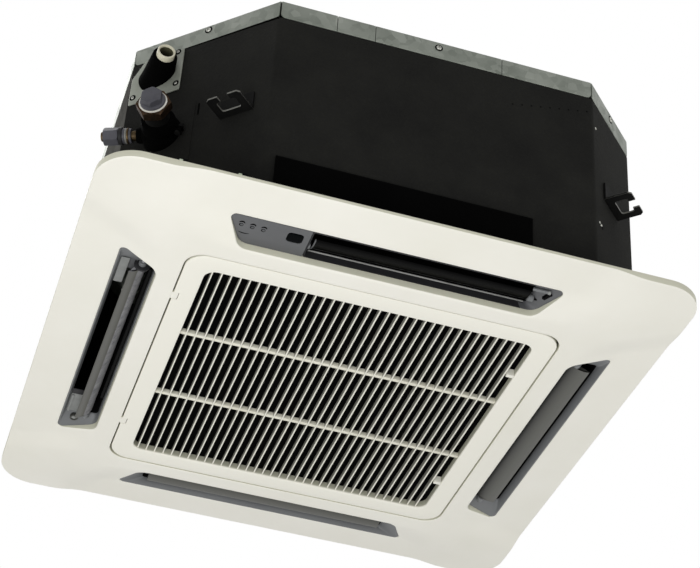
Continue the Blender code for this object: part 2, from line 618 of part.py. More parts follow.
def make_grille():
    """Intake grille: a moulded frame, upright slats, two cross bars and the hinge knuckles."""
    rows = [(DOOR_HALF, DOOR_CORNER, DOOR_FACE + DOOR_ROUND),
            (DOOR_HALF - DOOR_ROUND, DOOR_CORNER, DOOR_FACE),
            (OPENING_HALF + DOOR_ROUND, OPENING_CORNER, DOOR_FACE),
            (OPENING_HALF, OPENING_CORNER, DOOR_FACE + DOOR_ROUND),
            (OPENING_HALF, OPENING_CORNER, SLAT_TOP),
            (OPENING_HALF + DOOR_SKIN, OPENING_CORNER + DOOR_SKIN, SLAT_TOP),
            (OPENING_HALF + DOOR_SKIN, OPENING_CORNER + DOOR_SKIN, DOOR_FACE + DOOR_WALL),
            (DOOR_HALF - DOOR_SKIN, DOOR_CORNER - DOOR_SKIN, DOOR_FACE + DOOR_WALL),
            (DOOR_HALF - DOOR_SKIN, DOOR_CORNER - DOOR_SKIN, DOOR_DEPTH),
            (DOOR_HALF, DOOR_CORNER, DOOR_DEPTH)]
    grille = loft("intake_grille", [at_height(rounded_square(half, radius), z) for half, radius, z in rows],
                  ring=True)

    reach = OPENING_HALF + DOOR_SKIN / 2
    slats = []
    for index in range(SLAT_COUNT):
        x = SLAT_OFFSET + (index - (SLAT_COUNT - 1) / 2) * SLAT_PITCH
        slats.append(box("slat", (x - SLAT_THICK / 2, -reach, SLAT_FACE),
                         (x + SLAT_THICK / 2, reach, SLAT_TOP)))
    slats = join("slat_tool", slats)
    bars = [box("bar", (-reach, y - BAR_WIDTH / 2, BAR_FACE), (reach, y + BAR_WIDTH / 2, SLAT_TOP - 0.0004))
            for y in BAR_PLACES]
    combine(slats, join("bar_tool", bars), "UNION")
    edge = rounded_square(reach, OPENING_CORNER + DOOR_SKIN / 2)
    combine(slats, prism("edge_tool", edge, -0.010, 0.030), "INTERSECT")
    combine(grille, slats, "UNION")

    knuckles = []
    for place in HINGE_PLACES:
        half = HINGE_NOTCH_HALF + HINGE_KNUCKLE
        knuckles.append(box("knuckle", (-DOOR_HALF + DOOR_SKIN / 2, place - half, DOOR_FACE + DOOR_WALL / 2),
                            (HINGE_X + HINGE_NOTCH_DEPTH, place + half, HINGE_KNUCKLE_TOP)))
    combine(grille, join("knuckle_tool", knuckles), "UNION")
    cuts = []
    for place in HINGE_PLACES:
        cuts.append(box("notch", (-DOOR_HALF - 0.005, place - HINGE_NOTCH_HALF, -0.005),
                        (HINGE_X + HINGE_NOTCH_DEPTH, place + HINGE_NOTCH_HALF, DOOR_DEPTH + 0.005)))
    combine(grille, join("notch_tool", cuts), "DIFFERENCE")
    bores = []
    for place in HINGE_PLACES:
        reach = HINGE_NOTCH_HALF + HINGE_KNUCKLE + 0.001
        bores.append(cylinder("bore", (HINGE_X, place - reach, HINGE_Z), (HINGE_X, place + reach, HINGE_Z),
                              HINGE_BORE_R, 12))
    combine(grille, join("hinge_bore_tool", bores), "DIFFERENCE")
    return grille


def make_latch(name, place):
    """Slide latch in the wider gap at the end of the slats."""
    high = OPENING_HALF - GAP
    return box(name, (high - LATCH_SIZE[0], place - LATCH_SIZE[1] / 2, LATCH_FACE),
               (high, place + LATCH_SIZE[1] / 2, SLAT_TOP))


def make_filter():
    """Air filter: a thin mesh sheet in a frame with ribs, lying on the back of the slats."""
    low = SLAT_TOP + GAP
    rows = [(FILTER_HALF, FILTER_CORNER, low), (FILTER_HALF, FILTER_CORNER, FILTER_TOP),
            (FILTER_HALF - FILTER_BORDER, 0.004, FILTER_TOP),
            (FILTER_HALF - FILTER_BORDER, 0.004, low + FILTER_SHEET)]
    frame = loft("air_filter", [at_height(rounded_square(half, radius), z) for half, radius, z in rows])
    reach = FILTER_HALF - FILTER_BORDER / 2
    ribs = [box("rib", (x - FILTER_RIB / 2, -reach, low + FILTER_SHEET / 2),
                (x + FILTER_RIB / 2, reach, FILTER_TOP - 0.0003)) for x in FILTER_RIBS]
    combine(frame, join("rib_tool", ribs), "UNION")
    return frame


def octagon(half, inset=0.0):
    """Corners of the casing's plan, pulled in by inset, anticlockwise from the pipe corner's front."""
    half = half - inset
    trim = inset * (2 - math.sqrt(2))
    grow = BODY_HALF - half - inset
    pipe = PIPE_LEG - trim - grow * (2 - math.sqrt(2))
    leg = CORNER_LEG - trim - grow * (2 - math.sqrt(2))
    return [(-half + pipe, -half), (half - leg, -half), (half, -half + leg), (half, half - leg),
            (half - leg, half), (-half + leg, half), (-half, half - leg), (-half, -half + pipe)]


def make_walls():
    """Eight insulated walls of the casing, mitred where they meet."""
    names = ("wall_front", "corner_wall_front_right", "wall_right", "corner_wall_back_right",
             "wall_back", "corner_wall_back_left", "wall_left", "pipe_corner_wall")
    outer = octagon(BODY_HALF)
    inner = octagon(BODY_HALF, WALL_THICK)
    walls = []
    for index, name in enumerate(names):
        j = (index + 1) % 8
        start, end = Vector(outer[index]), Vector(outer[j])
        run = (end - start).normalized() * GAP / 2
        outline = [start + run, end - run, Vector(inner[j]) - run, Vector(inner[index]) + run]
        walls.append(prism(name, [tuple(point) for point in outline], BODY_BOTTOM,
                           BODY_TOP - RIM_FOLD - GAP))
    return walls


def make_top():
    """Galvanised top plate with its folded rim."""
    outer = octagon(BODY_HALF)
    inner = octagon(BODY_HALF, SHEET)
    return loft("top_plate", [at_height(inner, BODY_TOP - SHEET), at_height(inner, BODY_TOP - RIM_FOLD),
                              at_height(outer, BODY_TOP - RIM_FOLD), at_height(outer, BODY_TOP)])


def make_pan():
    """Drain pan: the casing's foam floor with the round intake and four outlets, in four mitred quarters."""
    inset = WALL_THICK + GAP
    round_hole = [(PAN_HOLE_R * math.cos(2 * math.pi * i / PAN_HOLE_STEPS),
                   PAN_HOLE_R * math.sin(2 * math.pi * i / PAN_HOLE_STEPS)) for i in range(PAN_HOLE_STEPS)]
    quarters = []
    for side in SIDES:
        pan = prism("drain_pan_" + side, octagon(BODY_HALF, inset), BODY_BOTTOM, PAN_TOP)
        middle = GAP / math.sqrt(2)
        reach = BODY_HALF + RIM_BAND
        wedge = prism("wedge_tool", [(0, -middle), (-reach, -reach - middle), (reach, -reach - middle)],
                      0.0, BELL_TOP)
        combine(pan, quarter(wedge, side), "INTERSECT")
        combine(pan, prism("intake_tool", round_hole, 0.0, BELL_TOP), "DIFFERENCE")
        start = PLATE_END if side == "front" else -DUCT_HALF
        duct = box("duct_tool", (start, -DUCT_OUTER, 0.0), (DUCT_HALF, -DUCT_INNER, BELL_TOP))
        combine(pan, quarter(duct, side), "DIFFERENCE")
        quarters.append(pan)
    return quarters


def make_bell_mouth():
    """Bell mouth: a turned ring that guides the air from the pan's hole to the fan's eye."""
    edge_r = PAN_HOLE_R * math.cos(math.pi / PAN_HOLE_STEPS) - GAP
    rise = BELL_TOP - BELL_BASE
    run = edge_r - BELL_THROAT_R
    lower = []
    upper = []
    steps = 8
    for i in range(steps + 1):
        angle = math.radians(90 * i / steps)
        lower.append((BELL_THROAT_R + run * (1 - math.sin(angle)), BELL_BASE + rise * (1 - math.cos(angle))))
        upper.append((BELL_THROAT_R + BELL_SKIN + (run - BELL_SKIN) * (1 - math.sin(angle)),
                      BELL_BASE + BELL_SKIN + (rise - BELL_SKIN) * (1 - math.cos(angle))))
    return revolve("bell_mouth", lower + list(reversed(upper)), PAN_HOLE_STEPS)


def make_fan():
    """Turbo fan wheel: shroud, disc with hub, and swept blades between them."""
    shroud = [(FAN_EYE_R + FAN_SKIN, FAN_SHROUD_Z)]
    inner = [(FAN_EYE_R, FAN_SHROUD_Z)]
    steps = 5
    for i in range(1, steps + 1):
        angle = math.radians(90 * i / steps)
        run = FAN_RIM_R - FAN_EYE_R
        shroud.append((FAN_EYE_R + FAN_SKIN + (run - FAN_SKIN) * (1 - math.cos(angle)),
                       FAN_SHROUD_Z + (FAN_SHROUD_RISE - FAN_SKIN) * math.sin(angle)))
        inner.append((FAN_EYE_R + run * (1 - math.cos(angle)),
                      FAN_SHROUD_Z + FAN_SHROUD_RISE * math.sin(angle)))
    wheel = revolve("fan_wheel", shroud + list(reversed(inner)), 36)
    disc = []
    for r, z in ((FAN_DISC_R, FAN_DISC_Z), (FAN_DISC_R, FAN_DISC_Z + FAN_SKIN),
                 (FAN_SHAFT_R, FAN_DISC_Z + FAN_SKIN), (FAN_SHAFT_R, FAN_HUB_Z + FAN_NOSE),
                 (FAN_HUB_R * 0.5, FAN_HUB_Z), (FAN_HUB_R, FAN_DISC_Z - FAN_HUB_FOOT)):
        disc.append((r, z))
    combine(wheel, make_blades(), "UNION")
    combine(wheel, revolve("disc_tool", disc, 36), "UNION")
    return wheel


def make_blades():
    """The fan's backward swept blades, each a curved plate from shroud to disc."""
    blades = []
    steps = 5
    for index in range(FAN_BLADES):
        outline = []
        back = []
        for i in range(steps + 1):
            share = i / steps
            radius = BLADE_ROOT_R + (FAN_RIM_R - BLADE_TIP - BLADE_ROOT_R) * share
            angle = 2 * math.pi * index / FAN_BLADES + math.radians(BLADE_SWEEP) * share ** 0.8
            place = Vector((math.cos(angle), math.sin(angle)))
            across = Vector((-place.y, place.x)) * BLADE_THICK / 2 * (1.2 - 0.7 * share)
            outline.append(tuple(place * radius + across))
            back.append(tuple(place * radius - across))
        outline += list(reversed(back))
        blades.append(prism("blade", outline, FAN_SHROUD_Z + BLADE_FOOT, FAN_DISC_Z + FAN_SKIN / 2))
    tool = join("blade_tool", blades)
    trim_inner = []
    steps = 5
    for i in range(steps + 1):
        angle = math.radians(90 * i / steps)
        run = FAN_RIM_R - FAN_EYE_R
        trim_inner.append((FAN_EYE_R + FAN_SKIN / 2 + run * (1 - math.cos(angle)),
                           FAN_SHROUD_Z + (FAN_SHROUD_RISE - FAN_SKIN / 2) * math.sin(angle)))
    trim = trim_inner + [(FAN_RIM_R + FAN_RUN, FAN_SHROUD_Z + FAN_SHROUD_RISE),
                         (FAN_RIM_R + FAN_RUN, BELL_BASE), (FAN_EYE_R + FAN_SKIN / 2, BELL_BASE)]
    combine(tool, revolve("trim_tool", trim, 36), "DIFFERENCE")
    return tool


def make_motor():
    """Fan motor under the top plate, with the shaft that carries the wheel."""
    motor = cylinder("fan_motor", (0, 0, MOTOR_BOTTOM), (0, 0, BODY_TOP - SHEET - GAP), MOTOR_R, 32)
    shaft = cylinder("shaft_tool", (0, 0, FAN_HUB_Z + SHAFT_START), (0, 0, MOTOR_BOTTOM + SHAFT_LAP),
                     SHAFT_R, 16)
    collar = cylinder("collar_tool", (0, 0, FAN_DISC_Z - FAN_HUB_FOOT), (0, 0, MOTOR_BOTTOM + COLLAR_LAP),
                      FAN_SHAFT_R - GAP, 36)
    combine(motor, shaft, "UNION")
    combine(motor, collar, "UNION")
    return motor


def corner_frame(corner):
    """Outer middle and outward direction of a chamfer wall, in plan."""
    points = octagon(BODY_HALF)
    pair = {"pipe": (7, 0), "front_right": (1, 2), "back_right": (3, 4), "back_left": (5, 6)}[corner]
    a, b = Vector(points[pair[0]]), Vector(points[pair[1]])
    along = (b - a).normalized()
    return (a + b) / 2, Vector((along.y, -along.x)), along


def place_on_corner(piece, corner, shift=0.0):
    """Move a piece built with +X along the wall and -Y outwards to a chamfer wall."""
    middle, outward, along = corner_frame(corner)
    turn = math.atan2(along.y, along.x)
    spot = middle + along * shift
    piece.data.transform(Matrix.Translation((spot.x, spot.y, 0)) @ Matrix.Rotation(turn, 4, "Z"))
    return piece


def make_bracket(corner):
    """Hanger bracket: a plate with a T-shaped rod slot, and a leg that goes up the chamfer wall."""
    half = BRACKET_WIDTH / 2
    turn = BRACKET_CORNER
    outline = [(-half, -GAP), (-half, -BRACKET_REACH + turn), (-half + turn, -BRACKET_REACH),
               (half - turn, -BRACKET_REACH), (half, -BRACKET_REACH + turn), (half, -GAP)]
    plate = prism("bracket_" + corner, outline, BRACKET_Z, BRACKET_Z + BRACKET_THICK)
    low, high = BRACKET_Z - BRACKET_THICK, BRACKET_Z + 2 * BRACKET_THICK
    deep = BRACKET_REACH - ROD_HOOK
    corners = [(-ROD_SLOT / 2, -deep), (ROD_SLOT / 2, -deep), (ROD_SLOT / 2, -ROD_SLOT_START),
               (-ROD_SLOT / 2, -ROD_SLOT_START)]
    slot = prism("slot_tool", rounded_polygon(corners, [ROD_SLOT_CORNER] * 4), low, high)
    mouth = box("mouth_tool", (-ROD_MOUTH / 2, -2 * BRACKET_REACH, low),
                (ROD_MOUTH / 2, (-deep - ROD_SLOT_START) / 2, high))
    leg = box("leg_tool", (-half, -GAP - BRACKET_THICK, BRACKET_Z), (half, -GAP, BRACKET_Z + BRACKET_LEG))
    combine(plate, slot, "DIFFERENCE")
    combine(plate, mouth, "DIFFERENCE")
    combine(plate, leg, "UNION")
    for piece in (plate, slot, mouth, leg):
        place_on_corner(piece, corner, BRACKET_SHIFTS[corner])
    return plate


def wall_cutter(name, clear):
    """A block that fills everything behind the pipe corner's face, plus a clearance."""
    tool = box(name, (-BODY_HALF, -clear, -BODY_HALF), (BODY_HALF, BODY_HALF, BODY_TOP + BODY_HALF))
    return place_on_corner(tool, "pipe")


def make_drain():
    """Drain outlet: flange plate on the pipe corner, socket and its black sleeve."""
    start, end = DRAIN_PLATE_SPAN
    low, high = DRAIN_PLATE_Z
    cut_along, cut_down = DRAIN_PLATE_CUT
    outline = [(start, low), (end, low), (end, high), (start + cut_along, high), (start, high - cut_down)]
    flange = loft("drain_flange", [[(x, -GAP, z) for x, z in outline],
                                   [(x, -GAP - DRAIN_PLATE, z) for x, z in outline]])
    place_on_corner(flange, "pipe")
    root_y = DRAIN_END_Y + DRAIN_LENGTH
    sleeve_y = DRAIN_END_Y + SLEEVE_BACK
    socket = tube("drain_socket", (DRAIN_X, root_y, DRAIN_Z), (DRAIN_X, DRAIN_END_Y, DRAIN_Z),
                  (DRAIN_R, DRAIN_BORE_R), (DRAIN_R, DRAIN_BORE_R))
    combine(socket, wall_cutter("socket_cut_tool", DRAIN_PLATE + 2 * GAP), "DIFFERENCE")
    sleeve = tube("drain_sleeve", (DRAIN_X, root_y, DRAIN_Z), (DRAIN_X, sleeve_y, DRAIN_Z),
                  (SLEEVE_ROOT_R, DRAIN_R + GAP), (SLEEVE_END_R, DRAIN_R + GAP))
    combine(sleeve, wall_cutter("sleeve_cut_tool", DRAIN_PLATE + 2 * GAP), "DIFFERENCE")
    return flange, socket, sleeve


def union_axis(name):
    """Heading and end of a union's axis."""
    spec = UNIONS[name]
    return Vector((spec["heading"][0], spec["heading"][1], 0)).normalized(), Vector(spec["end"])


def make_union(name):
    """One pipe union: insulated stub from the wall, a nut on a round neck, and a plastic cap."""
    spec = UNIONS[name]
    heading, end = union_axis(name)
    cap_end = end - heading * spec["tip"]
    cap_root = cap_end - heading * spec["cap"]
    nut_root = cap_root - heading * spec["nut"]
    neck_root = nut_root - heading * spec["neck"]
    stub_root = end - heading * spec["length"]
    cap = cylinder(name + "_cap", cap_root + heading * GAP, cap_end, spec["cap_r"], 6)
    if spec["tip"] > 0:
        tip = cylinder("tip_tool", cap_end - heading * spec["tip"] / 2, end, spec["tip_r"], UNION_ROUND)
        combine(cap, tip, "UNION")
    nut = cylinder(name + "_nut", nut_root, cap_root, spec["nut_r"], spec["nut_sides"])
    neck = cylinder("neck_tool", neck_root + heading * GAP, nut_root + heading * spec["nut"] / 2,
                    spec["neck_r"], UNION_ROUND)
    combine(nut, neck, "UNION")
    stub = cylinder(name + "_stub", stub_root, neck_root, spec["stub_r"], UNION_ROUND)
    if name == "water_union":
        combine(stub, wall_cutter("wall_cut_tool", GAP), "DIFFERENCE")
    else:
        main_heading, main_end = union_axis("water_union")
        main = UNIONS["water_union"]
        saddle = cylinder("saddle_tool", main_end - main_heading * main["length"], main_end,
                          main["stub_r"] + GAP, UNION_ROUND)
        combine(stub, saddle, "DIFFERENCE")
    return cap, nut, stub


def make_foam_pad():
    """Black foam pad on the lower part of the front wall."""
    face = -BODY_HALF - GAP
    return box("front_foam_pad", (PAD_FROM_SIDES[0] - BODY_HALF, face - FOAM_PAD_THICK, BODY_BOTTOM),
               (BODY_HALF - PAD_FROM_SIDES[1], face, FOAM_PAD_TOP))


MATERIALS = {
    "panel_white": ((0.86, 0.85, 0.79), 0.45, 0.0),
    "insert_grey": ((0.16, 0.16, 0.17), 0.45, 0.0),
    "louvre_grey": ((0.10, 0.10, 0.10), 0.40, 0.0),
    "window_black": ((0.01, 0.01, 0.01), 0.15, 0.0),
    "foam_charcoal": ((0.02, 0.02, 0.02), 0.95, 0.0),
    "galvanised": ((0.45, 0.46, 0.44), 0.40, 0.9),
    "bracket_steel": ((0.04, 0.04, 0.04), 0.50, 0.6),
    "pan_foam": ((0.03, 0.03, 0.03), 0.90, 0.0),
    "black_plastic": ((0.015, 0.015, 0.015), 0.50, 0.0),
    "filter_black": ((0.01, 0.01, 0.01), 0.90, 0.0),
    "flange_grey": ((0.55, 0.56, 0.52), 0.55, 0.0),
    "socket_white": ((0.75, 0.74, 0.65), 0.40, 0.0),
    "brass": ((0.55, 0.38, 0.16), 0.35, 1.0),
    "cap_grey": ((0.10, 0.10, 0.12), 0.45, 0.0),
}


def dress(piece, name):
    """Give a piece its own Principled material in the part's colour."""
    colour, roughness, metallic = MATERIALS[name]
    material = bpy.data.materials.new(piece.name + "_" + name)
    material.use_nodes = True
    shader = material.node_tree.nodes["Principled BSDF"]
    shader.inputs["Base Color"].default_value = (*colour, 1.0)
    shader.inputs["Roughness"].default_value = roughness
    shader.inputs["Metallic"].default_value = metallic
    piece.data.materials.clear()
    piece.data.materials.append(material)


def main():
    """Build every piece of the unit."""
    for piece in list(bpy.data.objects):
        bpy.data.objects.remove(piece)
    dress(make_panel(), "panel_white")
    for side in SIDES:
        dress(make_insert(side), "insert_grey")
        dress(make_louvre(side), "louvre_grey")
    dress(make_indicator_plate(), "insert_grey")
    dress(make_receiver_window(), "window_black")
    dress(make_grille(), "panel_white")
    for name, place in LATCH_PLACES.items():
        dress(make_latch(name, place), "panel_white")
    dress(make_filter(), "filter_black")
    for wall in make_walls():
        dress(wall, "galvanised" if wall.name == "wall_left" else "foam_charcoal")
    dress(make_top(), "galvanised")
    for pan in make_pan():
        dress(pan, "pan_foam")
    dress(make_bell_mouth(), "black_plastic")
    dress(make_fan(), "black_plastic")
    dress(make_motor(), "bracket_steel")
    for corner in ("pipe", "front_right", "back_right", "back_left"):
        dress(make_bracket(corner), "bracket_steel")
    flange, socket, sleeve = make_drain()
    dress(flange, "flange_grey")
    dress(socket, "socket_white")
    dress(sleeve, "foam_charcoal")
    for name in UNIONS:
        cap, nut, stub = make_union(name)
        dress(cap, "cap_grey")
        dress(nut, "brass")
        dress(stub, "foam_charcoal")
    dress(make_foam_pad(), "foam_charcoal")


main()
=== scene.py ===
"""Looks of a four-way ceiling cassette fan coil unit, dressed on its CAD frame.

The unit hangs in a ceiling. +Z is up into the ceiling, so the panel's face looks down. The front,
at -Y, has the indicator plate, and the corner at -X -Y has the pipes. Lengths are in metres.
"""

import json
import logging
import math
from dataclasses import dataclass
from enum import Enum
from typing import Callable, Iterable

import bmesh
import bpy
from mathutils import Matrix, Vector
from mathutils.geometry import delaunay_2d_cdt

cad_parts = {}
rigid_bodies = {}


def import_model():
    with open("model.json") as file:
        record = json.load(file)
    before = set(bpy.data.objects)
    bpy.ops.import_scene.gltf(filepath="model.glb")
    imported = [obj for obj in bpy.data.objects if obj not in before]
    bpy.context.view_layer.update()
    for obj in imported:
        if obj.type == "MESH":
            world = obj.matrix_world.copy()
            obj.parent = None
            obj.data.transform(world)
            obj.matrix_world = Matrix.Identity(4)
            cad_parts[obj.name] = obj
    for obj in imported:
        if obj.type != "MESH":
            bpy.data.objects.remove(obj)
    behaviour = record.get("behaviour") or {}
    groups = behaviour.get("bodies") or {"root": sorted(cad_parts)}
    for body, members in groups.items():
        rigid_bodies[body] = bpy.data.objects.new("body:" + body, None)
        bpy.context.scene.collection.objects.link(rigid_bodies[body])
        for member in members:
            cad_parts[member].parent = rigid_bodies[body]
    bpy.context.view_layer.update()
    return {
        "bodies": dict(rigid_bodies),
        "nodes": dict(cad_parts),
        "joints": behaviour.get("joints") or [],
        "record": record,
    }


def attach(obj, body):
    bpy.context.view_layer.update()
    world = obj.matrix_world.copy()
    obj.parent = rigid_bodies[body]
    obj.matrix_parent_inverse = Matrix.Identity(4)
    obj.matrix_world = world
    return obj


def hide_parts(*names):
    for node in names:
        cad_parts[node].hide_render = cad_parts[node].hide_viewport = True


LOG = logging.getLogger("cassette")
MM = 0.001
GAP = 0.3 * MM
MERGE = 0.002 * MM
HERE = Matrix.Identity(4)
PHOTO_SIZE = (700, 568)


class Side(Enum):
    """A side of the unit, as quarter turns anticlockwise from the front."""

    FRONT = 0
    RIGHT = 1
    BACK = 2
    LEFT = 3

    @property
    def turn(self) -> Matrix:
        """Matrix that brings a piece built on the front to this side."""
        return Matrix.Rotation(math.radians(90 * self.value), 4, "Z")

    @property
    def word(self) -> str:
        """The side's name as the CAD nodes have it."""
        return self.name.lower()


def linear(hex_colour: str) -> tuple[float, float, float, float]:
    """Turn an sRGB colour into linear values.

    Args:
        hex_colour: six hexadecimal digits.

    Returns:
        Red, green, blue and alpha.
    """
    channels = []
    for start in (0, 2, 4):
        value = int(hex_colour[start:start + 2], 16) / 255
        channels.append(value / 12.92 if value <= 0.04045 else ((value + 0.055) / 1.055) ** 2.4)
    return channels[0], channels[1], channels[2], 1.0


def mm(rows: Iterable) -> list[tuple]:
    """Turn rows of numbers in millimetres into metres."""
    return [tuple(value * MM for value in row) for row in rows]


def add_node(tree: bpy.types.NodeTree, kind: str, settings: dict | None = None,
             links: dict | None = None) -> bpy.types.Node:
    """Add a node to a tree with its settings and links.

    Args:
        tree: shader or geometry tree.
        kind: the node's type.
        settings: attribute to value.
        links: input socket, by name or number, to a value or to the output that feeds it.

    Returns:
        The new node.
    """
    node = tree.nodes.new(kind)
    for name, value in (settings or {}).items():
        setattr(node, name, value)
    for name, value in (links or {}).items():
        socket = node.inputs[name]
        if isinstance(value, bpy.types.NodeSocket):
            tree.links.new(value, socket)
        else:
            socket.default_value = value
    return node


@dataclass(frozen=True)
class Finish:
    """A surface with two close tones in soft patches and a fine grain.

    Attributes:
        name: what it is and how it was made.
        colour: main tone, sRGB.
        shade: second tone, sRGB.
        roughness: of the clean surface.
        gloss_change: how far roughness drifts from patch to patch.
        patch_mm: size of the patches.
        grain_mm: spacing of the grain.
        grain_depth_mm: depth of the grain.
        metallic: 1 for bare metal.
        specular: strength of the mirror layer, 0.5 for smooth plastic and less for open foam.
        edge: how bright the surface mirrors at a flat angle, 1 for full and less for a dimmer mirror.
    """

    name: str
    colour: str
    shade: str
    roughness: float
    gloss_change: float = 0.05
    patch_mm: float = 90.0
    grain_mm: float = 1.2
    grain_depth_mm: float = 0.02
    metallic: float = 0.0
    specular: float = 0.5
    edge: float = 1.0

    def tone(self, tree: bpy.types.NodeTree, place: bpy.types.NodeSocket) -> bpy.types.NodeSocket:
        """Share of the second tone at each place."""
        noise = add_node(tree, "ShaderNodeTexNoise", None,
                         {"Vector": place, "Scale": 1 / (self.patch_mm * MM), "Detail": 4.0,
                          "Roughness": 0.6})
        spread = add_node(tree, "ShaderNodeMapRange", None,
                          {"Value": noise.outputs["Fac"], "From Min": 0.3, "From Max": 0.7})
        return spread.outputs["Result"]

    def height(self, tree: bpy.types.NodeTree, place: bpy.types.NodeSocket) -> bpy.types.NodeSocket:
        """Height of the grain at each place, from 0 to 1."""
        noise = add_node(tree, "ShaderNodeTexNoise", None,
                         {"Vector": place, "Scale": 1 / (self.grain_mm * MM), "Detail": 2.0})
        return noise.outputs["Fac"]

    def material(self) -> bpy.types.Material:
        """Build the material, or return it if it was built before."""
        made = bpy.data.materials.get(self.name)
        if made is not None:
            return made
        made = bpy.data.materials.new(self.name)
        made.use_nodes = True
        tree = made.node_tree
        shader = tree.nodes["Principled BSDF"]
        place = add_node(tree, "ShaderNodeTexCoord").outputs["Object"]
        tone = self.tone(tree, place)
        mix = add_node(tree, "ShaderNodeMix", {"data_type": "RGBA"},
                       {0: tone, 6: linear(self.colour), 7: linear(self.shade)})
        tree.links.new(mix.outputs[2], shader.inputs["Base Color"])
        rough = add_node(tree, "ShaderNodeMapRange", None,
                         {"Value": tone, "To Min": self.roughness,
                          "To Max": self.roughness + self.gloss_change})
        tree.links.new(rough.outputs["Result"], shader.inputs["Roughness"])
        bump = add_node(tree, "ShaderNodeBump", None,
                        {"Strength": 1.0, "Distance": self.grain_depth_mm * MM,
                         "Height": self.height(tree, place)})
        tree.links.new(bump.outputs["Normal"], shader.inputs["Normal"])
        shader.inputs["Metallic"].default_value = self.metallic
        shader.inputs["Specular IOR Level"].default_value = self.specular
        shader.inputs["Specular Tint"].default_value = (self.edge, self.edge, self.edge, 1.0)
        made.diffuse_color = linear(self.colour)
        return made


@dataclass(frozen=True)
class DepthShadedMoulding(Finish):
    """Moulding with a painted shade as its second tone, deeper in the unit where little light comes."""

    level_mm: float = 0.0
    fade_mm: float = 1.0

    def tone(self, tree: bpy.types.NodeTree, place: bpy.types.NodeSocket) -> bpy.types.NodeSocket:
        """Share of the painted shade, by height."""
        height = add_node(tree, "ShaderNodeSeparateXYZ", None, {"Vector": place})
        spread = add_node(tree, "ShaderNodeMapRange", None,
                          {"Value": height.outputs["Z"], "From Min": self.level_mm * MM,
                           "From Max": (self.level_mm + self.fade_mm) * MM})
        return spread.outputs["Result"]


@dataclass(frozen=True)
class FoamSkin(Finish):
    """Closed-cell foam glued to sheet metal: matt, with open cells and pale flecks."""

    cell_mm: float = 3.2
    fleck: float = 0.35

    def tone(self, tree: bpy.types.NodeTree, place: bpy.types.NodeSocket) -> bpy.types.NodeSocket:
        """Soft patches with small pale flecks over them."""
        patches = Finish.tone(self, tree, place)
        specks = add_node(tree, "ShaderNodeTexNoise", None,
                          {"Vector": place, "Scale": 1 / (self.cell_mm * MM), "Detail": 5.0,
                           "Roughness": 0.75})
        sharp = add_node(tree, "ShaderNodeMapRange", None,
                         {"Value": specks.outputs["Fac"], "From Min": 0.48, "From Max": 0.75,
                          "To Max": self.fleck})
        total = add_node(tree, "ShaderNodeMath", {"operation": "MULTIPLY_ADD", "use_clamp": True},
                         {0: patches, 1: 0.5, 2: sharp.outputs["Result"]})
        return total.outputs[0]

    def height(self, tree: bpy.types.NodeTree, place: bpy.types.NodeSocket) -> bpy.types.NodeSocket:
        """Cells of the foam, rounded by their walls."""
        cells = add_node(tree, "ShaderNodeTexVoronoi", None,
                         {"Vector": place, "Scale": 1 / (self.cell_mm * MM), "Randomness": 1.0})
        fine = Finish.height(self, tree, place)
        total = add_node(tree, "ShaderNodeMath", {"operation": "MULTIPLY_ADD"},
                         {0: fine, 1: 0.8, 2: cells.outputs["Distance"]})
        return total.outputs[0]


@dataclass(frozen=True)
class ZincSheet(Finish):
    """Hot-dip galvanised sheet: spangle crystals of uneven brightness under a dull oxide film."""

    spangle_mm: float = 9.0
    streak_mm: float = 60.0

    def tone(self, tree: bpy.types.NodeTree, place: bpy.types.NodeSocket) -> bpy.types.NodeSocket:
        """A brightness for each crystal, drifting with the oxide film."""
        crystals = add_node(tree, "ShaderNodeTexVoronoi", None,
                            {"Vector": place, "Scale": 1 / (self.spangle_mm * MM), "Randomness": 1.0})
        grey = add_node(tree, "ShaderNodeRGBToBW", None, {"Color": crystals.outputs["Color"]})
        film = add_node(tree, "ShaderNodeTexNoise", None,
                        {"Vector": place, "Scale": 1 / (self.streak_mm * MM), "Detail": 3.0})
        total = add_node(tree, "ShaderNodeMath", {"operation": "MULTIPLY_ADD", "use_clamp": True},
                         {0: grey.outputs[0], 1: 0.45, 2: film.outputs["Fac"]})
        spread = add_node(tree, "ShaderNodeMapRange", None,
                          {"Value": total.outputs[0], "From Min": 0.35, "From Max": 1.0})
        return spread.outputs["Result"]


@dataclass(frozen=True)
class WovenNet(Finish):
    """Filter net of round plastic threads, drawn coarser than the real one so that it shows."""

    thread_mm: float = 1.6

    def tone(self, tree: bpy.types.NodeTree, place: bpy.types.NodeSocket) -> bpy.types.NodeSocket:
        """Threads pale, holes dark."""
        height = self.height(tree, place)
        flip = add_node(tree, "ShaderNodeMath", {"operation": "SUBTRACT"}, {0: 1.0, 1: height})
        return flip.outputs[0]

    def height(self, tree: bpy.types.NodeTree, place: bpy.types.NodeSocket) -> bpy.types.NodeSocket:
        """The higher of the two sets of threads."""
        sets = []
        for direction in ("X", "Y"):
            wave = add_node(tree, "ShaderNodeTexWave", {"bands_direction": direction},
                            {"Vector": place, "Scale": 0.314 / (self.thread_mm * MM), "Distortion": 0.0})
            sets.append(wave.outputs["Fac"])
        top = add_node(tree, "ShaderNodeMath", {"operation": "MAXIMUM"}, {0: sets[0], 1: sets[1]})
        return top.outputs[0]


@dataclass(frozen=True)
class BrushedMetal(Finish):
    """Turned or drawn metal with tarnish in its patches."""

    def height(self, tree: bpy.types.NodeTree, place: bpy.types.NodeSocket) -> bpy.types.NodeSocket:
        """Fine tool marks, drawn out along Z."""
        stretch = add_node(tree, "ShaderNodeMapping", None, {"Vector": place, "Scale": (1.0, 1.0, 0.12)})
        return Finish.height(self, tree, stretch.outputs["Vector"])


